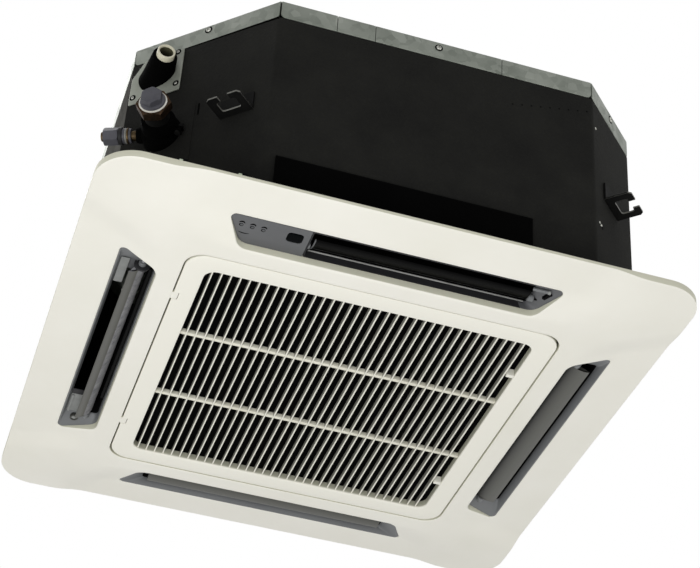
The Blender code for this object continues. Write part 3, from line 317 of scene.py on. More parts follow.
# Satin moulded ABS: a warm ivory white with a soft gloss, spark-eroded to hide flow marks
PANEL_ABS = Finish("moulded_ivory_abs", "F3F1E8", "EDEBE0", 0.46, 0.05, 160.0, 0.9, 0.006)
# The same ABS on the panel's steep walls and its rim, darkened as painted shade
PANEL_WALL_SHADE_ABS = Finish("moulded_ivory_abs_walls", "D6D5C3", "CCCBB8", 0.5, 0.05, 60.0, 0.9, 0.006,
                        specular=0.3)
# The grille's frame and slats, bright on the face and olive-grey behind it, a painted shade deeper in the
# grille
FRAME_ABS = DepthShadedMoulding("moulded_ivory_abs_frame", "F3F1E6", "B4B3A2", 0.46, 0.05, 160.0, 0.9, 0.006,
                         level_mm=1.4, fade_mm=2.2)
SLAT_ABS = DepthShadedMoulding("moulded_ivory_abs_slats", "F1EFE3", "8B8A80", 0.45, 0.1, 40.0, 0.9, 0.004,
                        specular=0.3, level_mm=3.1, fade_mm=1.5)
# The cross bars, ivory like the face, with no painted shade
BAR_ABS = Finish("moulded_ivory_abs_bars", "EFEDDF", "E2DFCE", 0.45, 0.05, 40.0, 0.9, 0.004)
# Grey ABS of the slots' inserts and the drive rod, satin
INSERT_ABS = Finish("moulded_grey_abs", "6E7071", "66686A", 0.42, 0.08, 60.0, 0.8, 0.006, specular=0.4)
# Grey ABS darkened as painted shade: the front slot's long wall, and the rib and disc in the left slot
INSERT_SHADE = Finish("moulded_dark_grey_abs_wall", "29292B", "222224", 0.45, 0.08, 60.0, 0.8, 0.006,
                     specular=0.2)
# Painted highlight along the edge of the front slot's long wall
EDGE_HIGHLIGHT = Finish("worn_pale_grey_edge", "9A9A98", "7E7E7C", 0.35, 0.08, 20.0, 0.8, 0.006)
# Pale grey ABS: shelf, hood and cap in the left slot, and the drive rod's knob
INSERT_PALE = Finish("moulded_pale_grey_abs", "8C8E8C", "7C7E7C", 0.42, 0.08, 30.0, 0.8, 0.006, specular=0.4)
# Middle grey ABS: indicator plate, ends of the front insert and of its louvre, step in the left slot
PLATE_ABS = Finish("moulded_plate_grey_abs", "5B5C5E", "555658", 0.45, 0.06, 60.0, 0.8, 0.006, specular=0.35)
# Grey-olive ABS of the louvres, with painted shade on the edge that lies deeper
LOUVRE_ABS = DepthShadedMoulding("moulded_dark_grey_abs", "4F4F4A", "222221", 0.34, 0.08, 50.0, 0.8, 0.004,
                          specular=0.35, level_mm=10.2, fade_mm=5.5)
# Near-black polished ABS: painted shade on the front louvre, which is dark grey like the other louvres, and
# the rubber seal in the left slot, which looks the same
NEAR_BLACK_SHADE_AND_SEAL = Finish("polished_black_abs", "030303", "060606", 0.3, 0.06, 50.0, 0.8, 0.004, specular=0.03)
# Grey flock on the inner part of the left louvre, made paler as painted light where that part lies in shade
FLOCK = FoamSkin("flocked_grey_louvre", "7C7C80", "BCBCBE", 0.95, 0.03, 12.0, 0.8, 0.3, specular=0.1)
# Smoked window of the receiver, which mirrors little
SMOKED_PLASTIC = Finish("smoked_window_plastic", "030506", "050708", 0.25, 0.04, 20.0, 2.0, 0.002,
                        specular=0.02, edge=0.3)
# Charcoal insulation foam: matt, slightly felted skin
FOAM = FoamSkin("charcoal_insulation_foam", "181817", "2A2A27", 0.95, 0.04, 70.0, 1.1, 0.3, specular=0.1)
# Black foam and rubber with nearly no sheen: pad, pipe insulation, drain sleeve and clamp band; also painted
# shadow under the rim and painted shade in dents
FOAM_BLACK = FoamSkin("black_insulation_foam", "030303", "070707", 0.95, 0.03, 50.0, 1.2, 0.2, specular=0.02)
# Zinc-coated sheet steel, and the left wall's, a darker and duller olive grey
ZINC = ZincSheet("galvanised_sheet", "8E928A", "6F746C", 0.42, 0.16, 60.0, 1.0, 0.01, 0.75)
ZINC_DULL = ZincSheet("galvanised_sheet_dull", "46453F", "3A3934", 0.62, 0.1, 60.0, 1.0, 0.01, 0.9, edge=0.2)
# Black painted bracket steel, worn to a faint sheen, and a painted highlight on its sheared edges
BLACK_PAINT = Finish("black_painted_steel", "0F0F0F", "171716", 0.6, 0.12, 18.0, 1.6, 0.03, specular=0.04)
SHEARED_EDGE_HIGHLIGHT = Finish("worn_sheared_edge", "6C6C66", "55554F", 0.45, 0.1, 8.0, 0.8, 0.02, 0.3)
# Expanded foam of the drain pan, seen only through the slots, with a black skin
PAN_FOAM = FoamSkin("black_skinned_pan_foam", "070707", "0C0C0C", 0.9, 0.05, 60.0, 1.5, 0.3, specular=0.1)
# Black ABS of fan and bell mouth
BLACK_ABS = Finish("moulded_black_abs", "0E0E0F", "141416", 0.55, 0.08, 40.0, 1.0, 0.01, specular=0.25)
# Filter net and its frame
FILTER_NET = WovenNet("woven_black_filter_net", "080808", "010101", 0.75, 0.2, 40.0, 1.0, 0.4, specular=0.02)
FILTER_FRAME = Finish("moulded_black_filter_frame", "0C0C0B", "121211", 0.6, 0.08, 40.0, 1.0, 0.01,
                      specular=0.1)
# Pale grey polyamide of the drain flange
FLANGE_PLASTIC = Finish("moulded_pale_grey_flange", "9DA196", "8A8E83", 0.5, 0.1, 25.0, 1.0, 0.015)
# Ivory polymer of the drain socket, slightly waxy
SOCKET_PLASTIC = Finish("moulded_ivory_socket", "DDD9C2", "CAC6AE", 0.38, 0.08, 20.0, 1.0, 0.008)
# Olive painted shade inside the drain bore
BORE_SHADE = Finish("olive_bore_film", "4A4936", "38372A", 0.6, 0.1, 10.0, 1.0, 0.01, specular=0.1)
# Machined brass, tarnished brown in patches, darkened as painted shade for the dark surroundings it mirrors
BRASS = BrushedMetal("machined_brass", "5C4C35", "342C21", 0.36, 0.2, 7.0, 0.7, 0.02, 1.0, edge=0.6)
# Cast bronze of the large union, darkened as painted shade for the dark surroundings it mirrors
BRONZE = BrushedMetal("cast_bronze", "4C3B2D", "24201B", 0.4, 0.2, 7.0, 0.7, 0.03, 1.0, edge=0.45)
# Grey polyethylene caps over the pipe unions
CAP_PLASTIC = Finish("moulded_grey_cap", "4C4C53", "3E3E44", 0.45, 0.1, 15.0, 1.0, 0.01, specular=0.35)
# Rubber sealing rings of the unions
GREY_RING = Finish("grey_sealing_ring", "8E8E88", "7C7C76", 0.5, 0.05, 15.0, 1.0, 0.005)
WHITE_RING = Finish("white_sealing_ring", "E8E6DE", "D6D3C8", 0.5, 0.05, 15.0, 1.0, 0.005)
# Bright zinc-plated screws
SCREW_STEEL = Finish("zinc_plated_screw", "B9BAB2", "8C8D86", 0.3, 0.15, 3.0, 0.6, 0.01, 1.0)
# Printed marks, recesses and openings, with no light in them
DARK_MARK = Finish("dark_moulded_mark", "0A0A0B", "060607", 0.7, 0.05, 10.0, 1.0, 0.005, specular=0.03)
# Lamp lenses of translucent plastic, unlit
LAMP_LENS = Finish("translucent_lamp_lens", "5A5C5E", "525456", 0.35, 0.05, 10.0, 1.0, 0.003, specular=0.2)
# Small pale green polymer clips on the panel's rim
CLIP_PLASTIC = Finish("moulded_pale_green_clip", "AEB8A2", "9DA792", 0.45, 0.05, 10.0, 1.0, 0.005)


def applied(piece: bpy.types.Object) -> bpy.types.Object:
    """Turn a piece's modifiers into its mesh."""
    bpy.context.view_layer.update()
    mesh = bpy.data.meshes.new_from_object(piece.evaluated_get(bpy.context.evaluated_depsgraph_get()))
    piece.modifiers.clear()
    piece.data = mesh
    return piece


def carve(piece: bpy.types.Object, tool: bpy.types.Object) -> None:
    """Cut a tool's shape out of a piece and remove the tool."""
    modifier = piece.modifiers.new("cut", "BOOLEAN")
    modifier.operation = "DIFFERENCE"
    modifier.solver = "EXACT"
    modifier.use_self = True
    modifier.object = tool
    applied(piece)
    bpy.data.objects.remove(tool)


def smooth_object(name: str, bm: bmesh.types.BMesh, sharp_deg: float = 32.0,
                  weighted: bool = False) -> bpy.types.Object:
    """Turn a bmesh into an object with smooth faces and sharp edges past an angle.

    Args:
        name: name of the piece.
        bm: its mesh, which is freed.
        sharp_deg: edges that fold more than this stay sharp.
        weighted: shade wide faces flat beside small rounded edges.

    Returns:
        The object, linked to the scene.
    """
    bmesh.ops.remove_doubles(bm, verts=bm.verts, dist=MERGE)
    bmesh.ops.recalc_face_normals(bm, faces=bm.faces)
    mesh = bpy.data.meshes.new(name)
    bm.to_mesh(mesh)
    bm.free()
    mesh.shade_smooth()
    mesh.set_sharp_from_angle(angle=math.radians(sharp_deg))
    piece = bpy.data.objects.new(name, mesh)
    bpy.context.scene.collection.objects.link(piece)
    if weighted:
        piece.modifiers.new("weights", "WEIGHTED_NORMAL").keep_sharp = True
        applied(piece)
    return piece


def bridge(bm: bmesh.types.BMesh, rows: list) -> None:
    """Join rows of vertices, each a closed loop, with faces."""
    for low, high in zip(rows, rows[1:]):
        for i in range(len(low)):
            j = (i + 1) % len(low)
            bm.faces.new((low[i], low[j], high[j], high[i]))


def skin_loops(bm: bmesh.types.BMesh, loops: list, caps: bool = False, ring: bool = False) -> None:
    """Skin a row of closed loops that have equally many points.

    Args:
        bm: mesh to add to.
        loops: rows of points.
        caps: close the first and last loop with a face.
        ring: the last loop meets the first.
    """
    rows = [[bm.verts.new(point) for point in loop] for loop in loops]
    bridge(bm, rows + rows[:1] if ring else rows)
    if caps:
        bm.faces.new(list(reversed(rows[0])))
        bm.faces.new(rows[-1])


def outline_with_normals(corners: list, radii: list, splits: list, steps: int = 8) -> list:
    """Dense outline of a convex polygon with round corners.

    Args:
        corners: corner points, anticlockwise.
        radii: radius of each corner.
        splits: number of parts of the straight that follows each corner.
        steps: parts of each arc.

    Returns:
        Pairs of point and outward normal.
    """
    arcs = []
    count = len(corners)
    for i, corner in enumerate(corners):
        point = Vector(corner)
        last = (Vector(corners[i - 1]) - point).normalized()
        following = (Vector(corners[(i + 1) % count]) - point).normalized()
        half = math.acos(max(-1.0, min(1.0, last.dot(following)))) / 2
        centre = point + (last + following).normalized() * (radii[i] / math.sin(half))
        start = point + last * (radii[i] / math.tan(half)) - centre
        sweep = math.pi - 2 * half
        first = math.atan2(start.y, start.x)
        arcs.append([(centre, first + sweep * k / steps, radii[i]) for k in range(steps + 1)])
    pairs = []
    for i, bend in enumerate(arcs):
        for centre, angle, radius in bend:
            normal = Vector((math.cos(angle), math.sin(angle)))
            pairs.append((centre + normal * radius, normal))
        last_point, normal = pairs[-1]
        centre, angle, radius = arcs[(i + 1) % count][0]
        next_point = centre + Vector((math.cos(angle), math.sin(angle))) * radius
        for k in range(1, splits[i]):
            pairs.append((last_point.lerp(next_point, k / splits[i]), normal))
    return pairs


def square_outline(half: float, radius: float, straight: int, steps: int) -> list:
    """Outline of a square with round corners, as pairs of point and outward normal."""
    corners = [(-half, -half), (half, -half), (half, half), (-half, half)]
    return outline_with_normals(corners, [radius] * 4, [straight] * 4, steps)


def lift(points: list, height: float) -> list[Vector]:
    """Put a flat outline at one height."""
    return [Vector((point[0], point[1], height)) for point in points]


def square_loops(rows: Iterable, straight: int, steps: int) -> list:
    """Loops of round-cornered squares, from rows of half size, corner radius and height."""
    return [lift([point for point, _ in square_outline(half, radius, straight, steps)], height)
            for half, radius, height in rows]


def fillet(radius: float, steps: int = 4) -> list[tuple]:
    """Quarter turn of a rounded edge, as distances back from the wall and away from the face."""
    angles = [math.radians(90 * k / steps) for k in range(steps + 1)]
    return [(radius * (1 - math.sin(angle)), radius * (1 - math.cos(angle))) for angle in angles]


def revolve(bm: bmesh.types.BMesh, profile: list, place: Matrix, steps: int, ring: bool = False) -> None:
    """Turn a profile of (radius, height) about the Z axis of a place.

    Args:
        bm: mesh to add to.
        profile: points from one end to the other, both of which are closed with a face.
        place: matrix from the turned shape to the unit.
        steps: parts of the turn.
        ring: the profile is closed on itself instead, as for a tube.
    """
    angles = [2 * math.pi * i / steps for i in range(steps)]
    skin_loops(bm, [[place @ Vector((radius * math.cos(angle), radius * math.sin(angle), height))
                     for angle in angles] for radius, height in profile], caps=not ring, ring=ring)


def axis_place(origin: Iterable, direction: Iterable) -> Matrix:
    """Matrix whose Z axis runs along a direction from an origin."""
    turn = Vector(direction).normalized().to_track_quat("Z", "Y")
    return Matrix.Translation(Vector(origin)) @ turn.to_matrix().to_4x4()


def block(bm: bmesh.types.BMesh, low: tuple, high: tuple, place: Matrix = HERE) -> None:
    """Add a box between two corners."""
    for vertex in bmesh.ops.create_cube(bm, size=1.0)["verts"]:
        for axis in range(3):
            vertex.co[axis] = low[axis] if vertex.co[axis] < 0 else high[axis]
        vertex.co = place @ vertex.co


def round_edges(bm: bmesh.types.BMesh, width: float, segments: int = 2, past_deg: float = 40.0) -> None:
    """Round every edge that folds more than an angle."""
    bm.normal_update()
    edges = [edge for edge in bm.edges
             if edge.is_manifold and edge.calc_face_angle(0.0) > math.radians(past_deg)]
    bmesh.ops.bevel(bm, geom=edges, offset=width, offset_type="OFFSET", segments=segments,
                    profile=0.5, affect="EDGES", clamp_overlap=True)


def dress(piece: bpy.types.Object, body: str, finish: Finish, slot: str, *nodes: str) -> bpy.types.Object:
    """Give a piece its finish and its place in the frame.

    Args:
        piece: object at the origin, with its place in its mesh.
        body: CAD body it moves with.
        finish: its surface.
        slot: material slot of the record, not used.
        *nodes: CAD nodes it stands for.

    Returns:
        The piece.
    """
    if not piece.data.materials:
        piece.data.materials.append(finish.material())
    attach(piece, body)
    if nodes:
        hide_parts(*nodes)
    LOG.info("%s: %d faces on %s", piece.name, len(piece.data.polygons), body)
    return piece


def two_finishes(piece: bpy.types.Object, first: Finish, second: Finish, test: Callable) -> None:
    """Give the faces that pass a test the second finish and the rest the first."""
    piece.data.materials.append(first.material())
    piece.data.materials.append(second.material())
    for face in piece.data.polygons:
        face.material_index = int(test(face))


def rounded_copy(node: bpy.types.Object, name: str, width: float = 0.0,
                 sharp_deg: float = 32.0) -> bpy.types.Object:
    """Copy a CAD node, merge its loose triangles and round its edges.

    Args:
        node: CAD object, which is left as it is.
        name: name of the copy.
        width: width of the rounding, 0 for none.
        sharp_deg: edges that stay sharp in the shading.

    Returns:
        The new object.
    """
    bm = bmesh.new()
    bm.from_mesh(node.data)
    bmesh.ops.remove_doubles(bm, verts=bm.verts, dist=1.5 * MERGE)
    bmesh.ops.dissolve_limit(bm, angle_limit=math.radians(1.0), verts=bm.verts, edges=bm.edges)
    if width > 0:
        round_edges(bm, width, 3)
    return smooth_object(name, bm, sharp_deg, weighted=width > 0)


class Piece:
    """A piece under construction: one mesh, its finish and its place in the frame.

    The lengths that its methods take are in millimetres, as on a drawing. Each method but the last
    returns the piece, so that calls can follow one another.
    """

    def __init__(self, name: str, finish: Finish, slot: str, *nodes: str, body: str = "casing") -> None:
        """Start an empty piece.

        Args:
            name: its name.
            finish: its surface.
            slot: material slot of the record.
            *nodes: CAD nodes it stands for.
            body: CAD body it moves with.
        """
        self.name = name
        self.finish = finish
        self.slot = slot
        self.nodes = nodes
        self.body = body
        self.bm = bmesh.new()

    def turned(self, profile: Iterable, place: Matrix, steps: int = 48, ring: bool = False) -> "Piece":
        """Add a profile of (radius, height), turned about the Z axis of a place."""
        revolve(self.bm, mm(profile), place, steps, ring)
        return self

    def box(self, low: tuple, high: tuple, place: Matrix = HERE) -> "Piece":
        """Add a box between two corners."""
        block(self.bm, *mm((low, high)), place)
        return self

    def prism(self, outline: Iterable, levels: tuple, place: Matrix = HERE) -> "Piece":
        """Add an outline drawn out from one level to another."""
        skin_loops(self.bm, [[place @ Vector((x, y, level * MM)) for x, y in mm(outline)]
                             for level in levels], caps=True)
        return self

    def hexagon(self, place: Matrix, radius: float, low: float, high: float, chamfer: float) -> "Piece":
        """Add a hexagonal nut with turned chamfers.

        Args:
            place: matrix whose Z is the nut's axis.
            radius: from the axis to a corner.
            low: start along the axis.
            high: end along the axis.
            chamfer: how far a corner is turned down at each end.

        Returns:
            The piece.
        """
        steps, drop = 72, chamfer / 2
        apothem = radius * math.cos(math.radians(30))
        rows = ((radius - chamfer, low), (radius - chamfer * 0.45, low + drop * 0.4), (radius, low + drop),
                (radius, high - drop), (radius - chamfer * 0.45, high - drop * 0.4), (radius - chamfer, high))
        loops = []
        for limit, level in mm(rows):
            loop = []
            for i in range(steps):
                angle = 2 * math.pi * i / steps
                reach = min(apothem * MM / math.cos(angle % (math.pi / 3) - math.pi / 6), limit)
                loop.append(place @ Vector((reach * math.cos(angle), reach * math.sin(angle), level)))
            loops.append(loop)
        skin_loops(self.bm, loops, caps=True)
        return self

    def rounded(self, width: float, past_deg: float = 40.0) -> "Piece":
        """Round the edges that fold more than an angle."""
        round_edges(self.bm, width * MM, 2, past_deg)
        return self

    def done(self, sharp_deg: float = 30.0, turn: Matrix = HERE, weighted: bool = False) -> None:
        """Smooth the mesh, turn it to its side and put the piece in the frame."""
        piece = smooth_object(self.name, self.bm, sharp_deg, weighted)
        piece.data.transform(turn)
        dress(piece, self.body, self.finish, self.slot, *self.nodes)


class Recipe:
    """A Geometry Nodes tree with named inputs, run once and turned into a plain mesh."""

    def __init__(self, name: str, inputs: dict[str, type]) -> None:
        """Start a tree.

        Args:
            name: name of the tree.
            inputs: name of each input to float, int or a material.
        """
        self.tree = bpy.data.node_groups.new(name, "GeometryNodeTree")
        self.identifiers: dict[str, str] = {}
        kinds = {float: "NodeSocketFloat", int: "NodeSocketInt", bpy.types.Material: "NodeSocketMaterial",
                 bpy.types.Object: "NodeSocketObject"}
        self.tree.interface.new_socket("Geometry", in_out="INPUT", socket_type="NodeSocketGeometry")
        for label, kind in inputs.items():
            socket = self.tree.interface.new_socket(label, in_out="INPUT", socket_type=kinds[kind])
            self.identifiers[label] = socket.identifier
        self.tree.interface.new_socket("Geometry", in_out="OUTPUT", socket_type="NodeSocketGeometry")
        self.entry = self.tree.nodes.new("NodeGroupInput")

    def given(self, label: str) -> bpy.types.NodeSocket:
        """Output socket of a named input."""
        return self.entry.outputs[label]

    def add(self, kind: str, settings: dict | None = None, links: dict | None = None) -> bpy.types.Node:
        """Add a node to this tree."""
        return add_node(self.tree, kind, settings, links)

    def close(self, geometry: bpy.types.NodeSocket, material: bpy.types.NodeSocket) -> None:
        """Realize the instances, set the material and end the tree."""
        real = self.add("GeometryNodeRealizeInstances", None, {"Geometry": geometry})
        painted = self.add("GeometryNodeSetMaterial", None,
                           {"Geometry": real.outputs["Geometry"], "Material": material})
        self.add("NodeGroupOutput", None, {"Geometry": painted.outputs["Geometry"]})

    def run(self, name: str, values: dict, seed: bpy.types.Mesh | None = None) -> bpy.types.Object:
        """Run the tree on a seed mesh and keep the result as a plain mesh.

        Args:
            name: name of the new piece.
            values: value of each named input.
            seed: mesh that the tree starts from.

        Returns:
            The new object, with no modifier.
        """
        start = seed or bpy.data.meshes.new(name + "_seed")
        piece = bpy.data.objects.new(name, start)
        bpy.context.scene.collection.objects.link(piece)
        modifier = piece.modifiers.new("recipe", "NODES")
        modifier.node_group = self.tree
        for label, value in values.items():
            modifier[self.identifiers[label]] = value
        applied(piece).data.name = name
        return piece


def smooth_step(value: float) -> float:
    """Ease from 0 to 1."""
    value = max(0.0, min(1.0, value))
    return value * value * (3 - 2 * value)


@dataclass(frozen=True)
class PanelShape:
    """Rule of the moulded face: rings of rounded squares and the height of each place on them."""

    half: float = 350 * MM
    corner: float = 47 * MM
    opening: float = 225.2 * MM
    opening_corner: float = 23.9 * MM
    plateau: float = 250 * MM
    slot_outer: float = 297 * MM
    slot_level: float = 9.5 * MM
    side_level: float = 14.7 * MM
    corner_level: float = 10 * MM
    scoop_half: float = 182 * MM
    scoop_flare: float = 0.5
    scoop_fade: float = 45 * MM

    def corner_at(self, half: float) -> float:
        """Corner radius of the ring of this half size."""
        share = (half - self.opening) / (self.half - self.opening)
        return self.opening_corner + (self.corner - self.opening_corner) * share

    def ring_at(self, x: float, y: float) -> float:
        """Half size of the ring through a place."""
        far, near = max(abs(x), abs(y)), min(abs(x), abs(y))
        if near <= far - self.corner_at(far):
            return far
        growth = (self.corner - self.opening_corner) / (self.half - self.opening)
        base = self.opening_corner - self.opening * growth
        keep = 1 - growth
        total = far + near
        second = 2 * keep * keep - growth * growth
        first = -4 * base * keep - 2 * total * keep - 2 * growth * base
        rest = base * base + 2 * base * total + far * far + near * near
        return (-first - math.sqrt(max(0.0, first * first - 4 * second * rest))) / (2 * second)

    def height(self, x: float, y: float) -> float:
        """Height of the face above the plateau."""
        half = self.ring_at(x, y)
        if half <= self.plateau:
            return 0.0
        corner = self.corner_level * smooth_step((half - self.plateau) / (self.half - self.plateau))
        if half <= self.slot_outer:
            side = self.slot_level * (half - self.plateau) / (self.slot_outer - self.plateau)
        else:
            share = (half - self.slot_outer) / (self.half - self.slot_outer)
            side = self.slot_level + (self.side_level - self.slot_level) * share
        start = self.scoop_half + self.scoop_flare * (half - self.plateau)
        scoop = 1 - smooth_step((min(abs(x), abs(y)) - start) / self.scoop_fade)
        return corner + scoop * (side - corner)


@dataclass(frozen=True)
class SlotPlan:
    """Plan of an air slot, built on the front: a trapezium with round ends, long edge outwards."""

    inner: float = 250 * MM
    outer: float = 297 * MM
    half_inner: float = 175 * MM
    half_outer: float = 198 * MM
    corner_inner: float = 16 * MM
    corner_outer: float = 6 * MM
    plate_end: float = -102 * MM
    part: float = 5 * MM
    cut_length: float = 200 * MM
    end_parts: int = 6
    cut_round: float = 1 * MM

    @property
    def slope(self) -> float:
        """How fast the slanted ends widen outwards."""
        return (self.half_outer - self.half_inner) / (self.outer - self.inner)

    def splits(self, start: float | None) -> list[int]:
        """Number of parts of each of the four straights."""
        parts = round((2 * self.half_outer if start is None else self.cut_length) / self.part)
        return [parts, self.end_parts, parts, self.end_parts]

    def outline(self, inset: float, start: float | None = None) -> list:
        """Outline pulled in by an inset.

        Args:
            inset: distance from the slot's own edge.
            start: x of a square-cut left end, or None for the slanted end.

        Returns:
            Pairs of point and outward normal.
        """
        slant = math.hypot(1.0, self.slope)
        inner, outer = self.inner + inset, self.outer - inset
        right_in = self.half_inner + inset * self.slope - inset * slant
        right_out = self.half_outer - inset * self.slope - inset * slant
        round_in, round_out = self.corner_inner - inset, self.corner_outer - inset
        left_in, left_out, cut_in, cut_out = -right_in, -right_out, round_in, round_out
        if start is not None:
            left_in = left_out = start + inset
            cut_in = cut_out = self.cut_round
        corners = [(left_out, -outer), (right_out, -outer), (right_in, -inner), (left_in, -inner)]
        return outline_with_normals(corners, [cut_out, round_out, round_in, cut_in], self.splits(start))


@dataclass
class PanelMoulding:
    """Injection-moulded decorative panel with its slot collars, hinge lugs and screw bosses.

    The face is triangulated on rings 4.5 mm apart, and every edge has its own moulded radius.
    """

    shape: PanelShape
    slot: SlotPlan
    wall: float = 2.5 * MM
    rim_top: float = 19 * MM
    rim_round: float = 1.1 * MM
    lip_top: float = 12 * MM
    collar: float = 2.0 * MM
    ring_step: float = 4.5 * MM
    slot_round_inner: float = 2.2 * MM
    slot_round_outer: float = 0.7 * MM
    opening_round: float = 0.9 * MM
    hinge_x: float = -220.5 * MM
    hinge_z: float = 2.4 * MM
    hinge_places: tuple = (-139 * MM, 139 * MM)
    lug_half: tuple = (6.1 * MM, 1.7 * MM)
    lug_laps: tuple = (1.2 * MM, 2.9 * MM)
    pin: tuple = ((1.1, -10.5), (1.1, 10.5))
    boss_places: tuple = (-232 * MM, 232 * MM)
    boss: tuple = ((7, 2.4), (7, 19.2), (6.5, 19.7))
    clear_inside: float = 4 * MM
    clear_outside: float = 2.6 * MM
    clear_ends: float = 4.5 * MM
    steep: float = 0.3
    clip_places: tuple = (-265.5, -200.3)

    def slot_round(self, out: float) -> float:
        """Radius of the slot's edge at a distance outwards."""
        share = (out - self.slot.inner) / (self.slot.outer - self.slot.inner)
        growth = self.slot_round_outer - self.slot_round_inner
        return self.slot_round_inner + growth * smooth_step(share * 1.4)

    def loops(self) -> list:
        """Edges of the face: its rim, the grille's opening and the four slots.

        Returns:
            Tuples of points of the sharp edge, directions into the material, radii, top and wall.
        """
        shape = self.shape
        rim = square_outline(shape.half, shape.corner, 134, 18)
        opening = square_outline(shape.opening, shape.opening_corner, 60, 12)
        found = [([p for p, _ in rim], [-n for _, n in rim], [self.rim_round] * len(rim), self.rim_top,
                  self.wall),
                 ([p for p, _ in opening], [n for _, n in opening], [self.opening_round] * len(opening),
                  self.lip_top, self.wall)]
        for side in Side:
            turn = side.turn.to_2x2()
            pairs = self.slot.outline(0.0)
            found.append(([turn @ p for p, _ in pairs], [turn @ n for _, n in pairs],
                          [self.slot_round(-p.y) for p, _ in pairs], self.lip_top, self.collar))
        return found

    def scatter(self) -> list[Vector]:
        """Points of the face on its rings, clear of every edge."""
        points = []
        half = self.shape.opening + self.clear_inside
        while half < self.shape.half - self.rim_round - 2 * MM:
            corner = self.shape.corner_at(half)
            straight = round(2 * (half - corner) / self.ring_step)
            steps = max(4, round(1.57 * corner / self.ring_step))
            for point, _ in square_outline(half, corner, straight, steps):
                far, near = max(abs(point.x), abs(point.y)), min(abs(point.x), abs(point.y))
                reach = self.slot.half_inner + (far - self.slot.inner) * self.slot.slope
                inside = (self.slot.inner - self.clear_inside < far < self.slot.outer + self.clear_outside
                          and near < reach + self.clear_ends)
                if not inside:
                    points.append(point)
            half += self.ring_step
        return points

    def skin(self, bm: bmesh.types.BMesh) -> None:
        """Add the face, its rounded edges, the lips and the back of the moulding."""
        edges_of_face = self.loops()
        points, edges, spans = [], [], []
        for sharp, inward, radii, _, _ in edges_of_face:
            first, count = len(points), len(sharp)
            points += [p + n * r for p, n, r in zip(sharp, inward, radii)]
            edges += [(first + i, first + (i + 1) % count) for i in range(count)]
            spans.append((first, count))
        points += self.scatter()
        flat, _, faces, sources, _, _ = delaunay_2d_cdt(points, edges, [], 1, 1e-6)
        place_of = {source: i for i, group in enumerate(sources) for source in group}
        loop_of = {place_of[i]: index for index, (first, count) in enumerate(spans)
                   for i in range(first, first + count)}
        front = [bm.verts.new((p.x, p.y, self.shape.height(p.x, p.y))) for p in flat]
        back_places = [Vector((p.x, p.y, self.shape.height(p.x, p.y) + self.wall)) for p in flat]
        for (sharp, inward, _, top, wall), (first, count) in zip(edges_of_face, spans):
            for i in range(count):
                p = sharp[i] + inward[i] * wall
                level = min(self.shape.height(p.x, p.y) + self.wall, top - 0.1 * MM)
                back_places[place_of[first + i]] = Vector((p.x, p.y, level))
        back = [bm.verts.new(p) for p in back_places]
        for face in faces:
            owners = {loop_of.get(i, -1) for i in face}
            if len(owners) == 1 and owners.pop() > 0:
                continue
            bm.faces.new([front[i] for i in face])
            bm.faces.new([back[i] for i in reversed(face)])
        for (sharp, inward, radii, top, wall), (first, count) in zip(edges_of_face, spans):
            rows = [[front[place_of[first + i]] for i in range(count)]]
            for turn in (22.5, 45.0, 67.5, 90.0):
                angle = math.radians(turn)
                row = []
                for i in range(count):
                    edge = sharp[i] + inward[i] * radii[i]
                    spot = edge - inward[i] * radii[i] * math.sin(angle)
                    level = self.shape.height(edge.x, edge.y) + radii[i] * (1 - math.cos(angle))
                    row.append(bm.verts.new((spot.x, spot.y, min(level, top - 0.4 * MM))))
                rows.append(row)
            rows.append([bm.verts.new(place) for place in lift(sharp, top)])
            inner = [sharp[i] + inward[i] * wall for i in range(count)]
            rows.append([bm.verts.new(place) for place in lift(inner, top)])
            rows.append([back[place_of[first + i]] for i in range(count)])
            bridge(bm, rows)

    def fixings(self, bm: bmesh.types.BMesh) -> None:
        """Add the hinge lugs, their pins and the four screw bosses."""
        (half, thick), (lap_out, lap_in) = self.lug_half, self.lug_laps
        for place in self.hinge_places:
            block(bm, (-self.shape.opening - lap_out, place - half, self.hinge_z - thick),
                  (self.hinge_x + lap_in, place + half, self.hinge_z + thick))
            revolve(bm, mm(self.pin), axis_place((self.hinge_x, place, self.hinge_z), (0, 1, 0)), 12)
        for x in self.boss_places:
            for y in self.boss_places:
                revolve(bm, mm(self.boss), Matrix.Translation((x, y, 0)), 24)

    def build(self) -> None:
        """Make the panel and put it in the frame."""
        bm = bmesh.new()
        self.skin(bm)
        self.fixings(bm)
        piece = smooth_object("panel_moulding", bm, 35.0)
        # Steep faces get the ivory ABS darkened as painted shade
        two_finishes(piece, PANEL_ABS, PANEL_WALL_SHADE_ABS, lambda face: abs(face.normal.z) < self.steep)
        dress(piece, "casing", PANEL_ABS, "panel_white", "panel")
        self.clips()

    def clips(self) -> None:
        """Small clips that show on the rim's upper edge, each over a black box of painted shadow."""
        pale = Piece("rim_clips", CLIP_PLASTIC, "socket_white")
        dark = Piece("rim_clip_recesses", DARK_MARK, "window_black")
        front, top = -self.shape.half / MM, self.rim_top / MM
        for x in self.clip_places:
            pale.box((x - 2.4, front - 0.5, top + 0.2), (x + 1.6, front + 3, top + 1.8))
            # Black box of painted shadow behind each clip
            dark.box((x - 2.6, front - 0.1, top + 1.8), (x + 7.0, front + 3, top + 3.4))
        pale.rounded(0.4).done(32.0)
        dark.done(32.0)


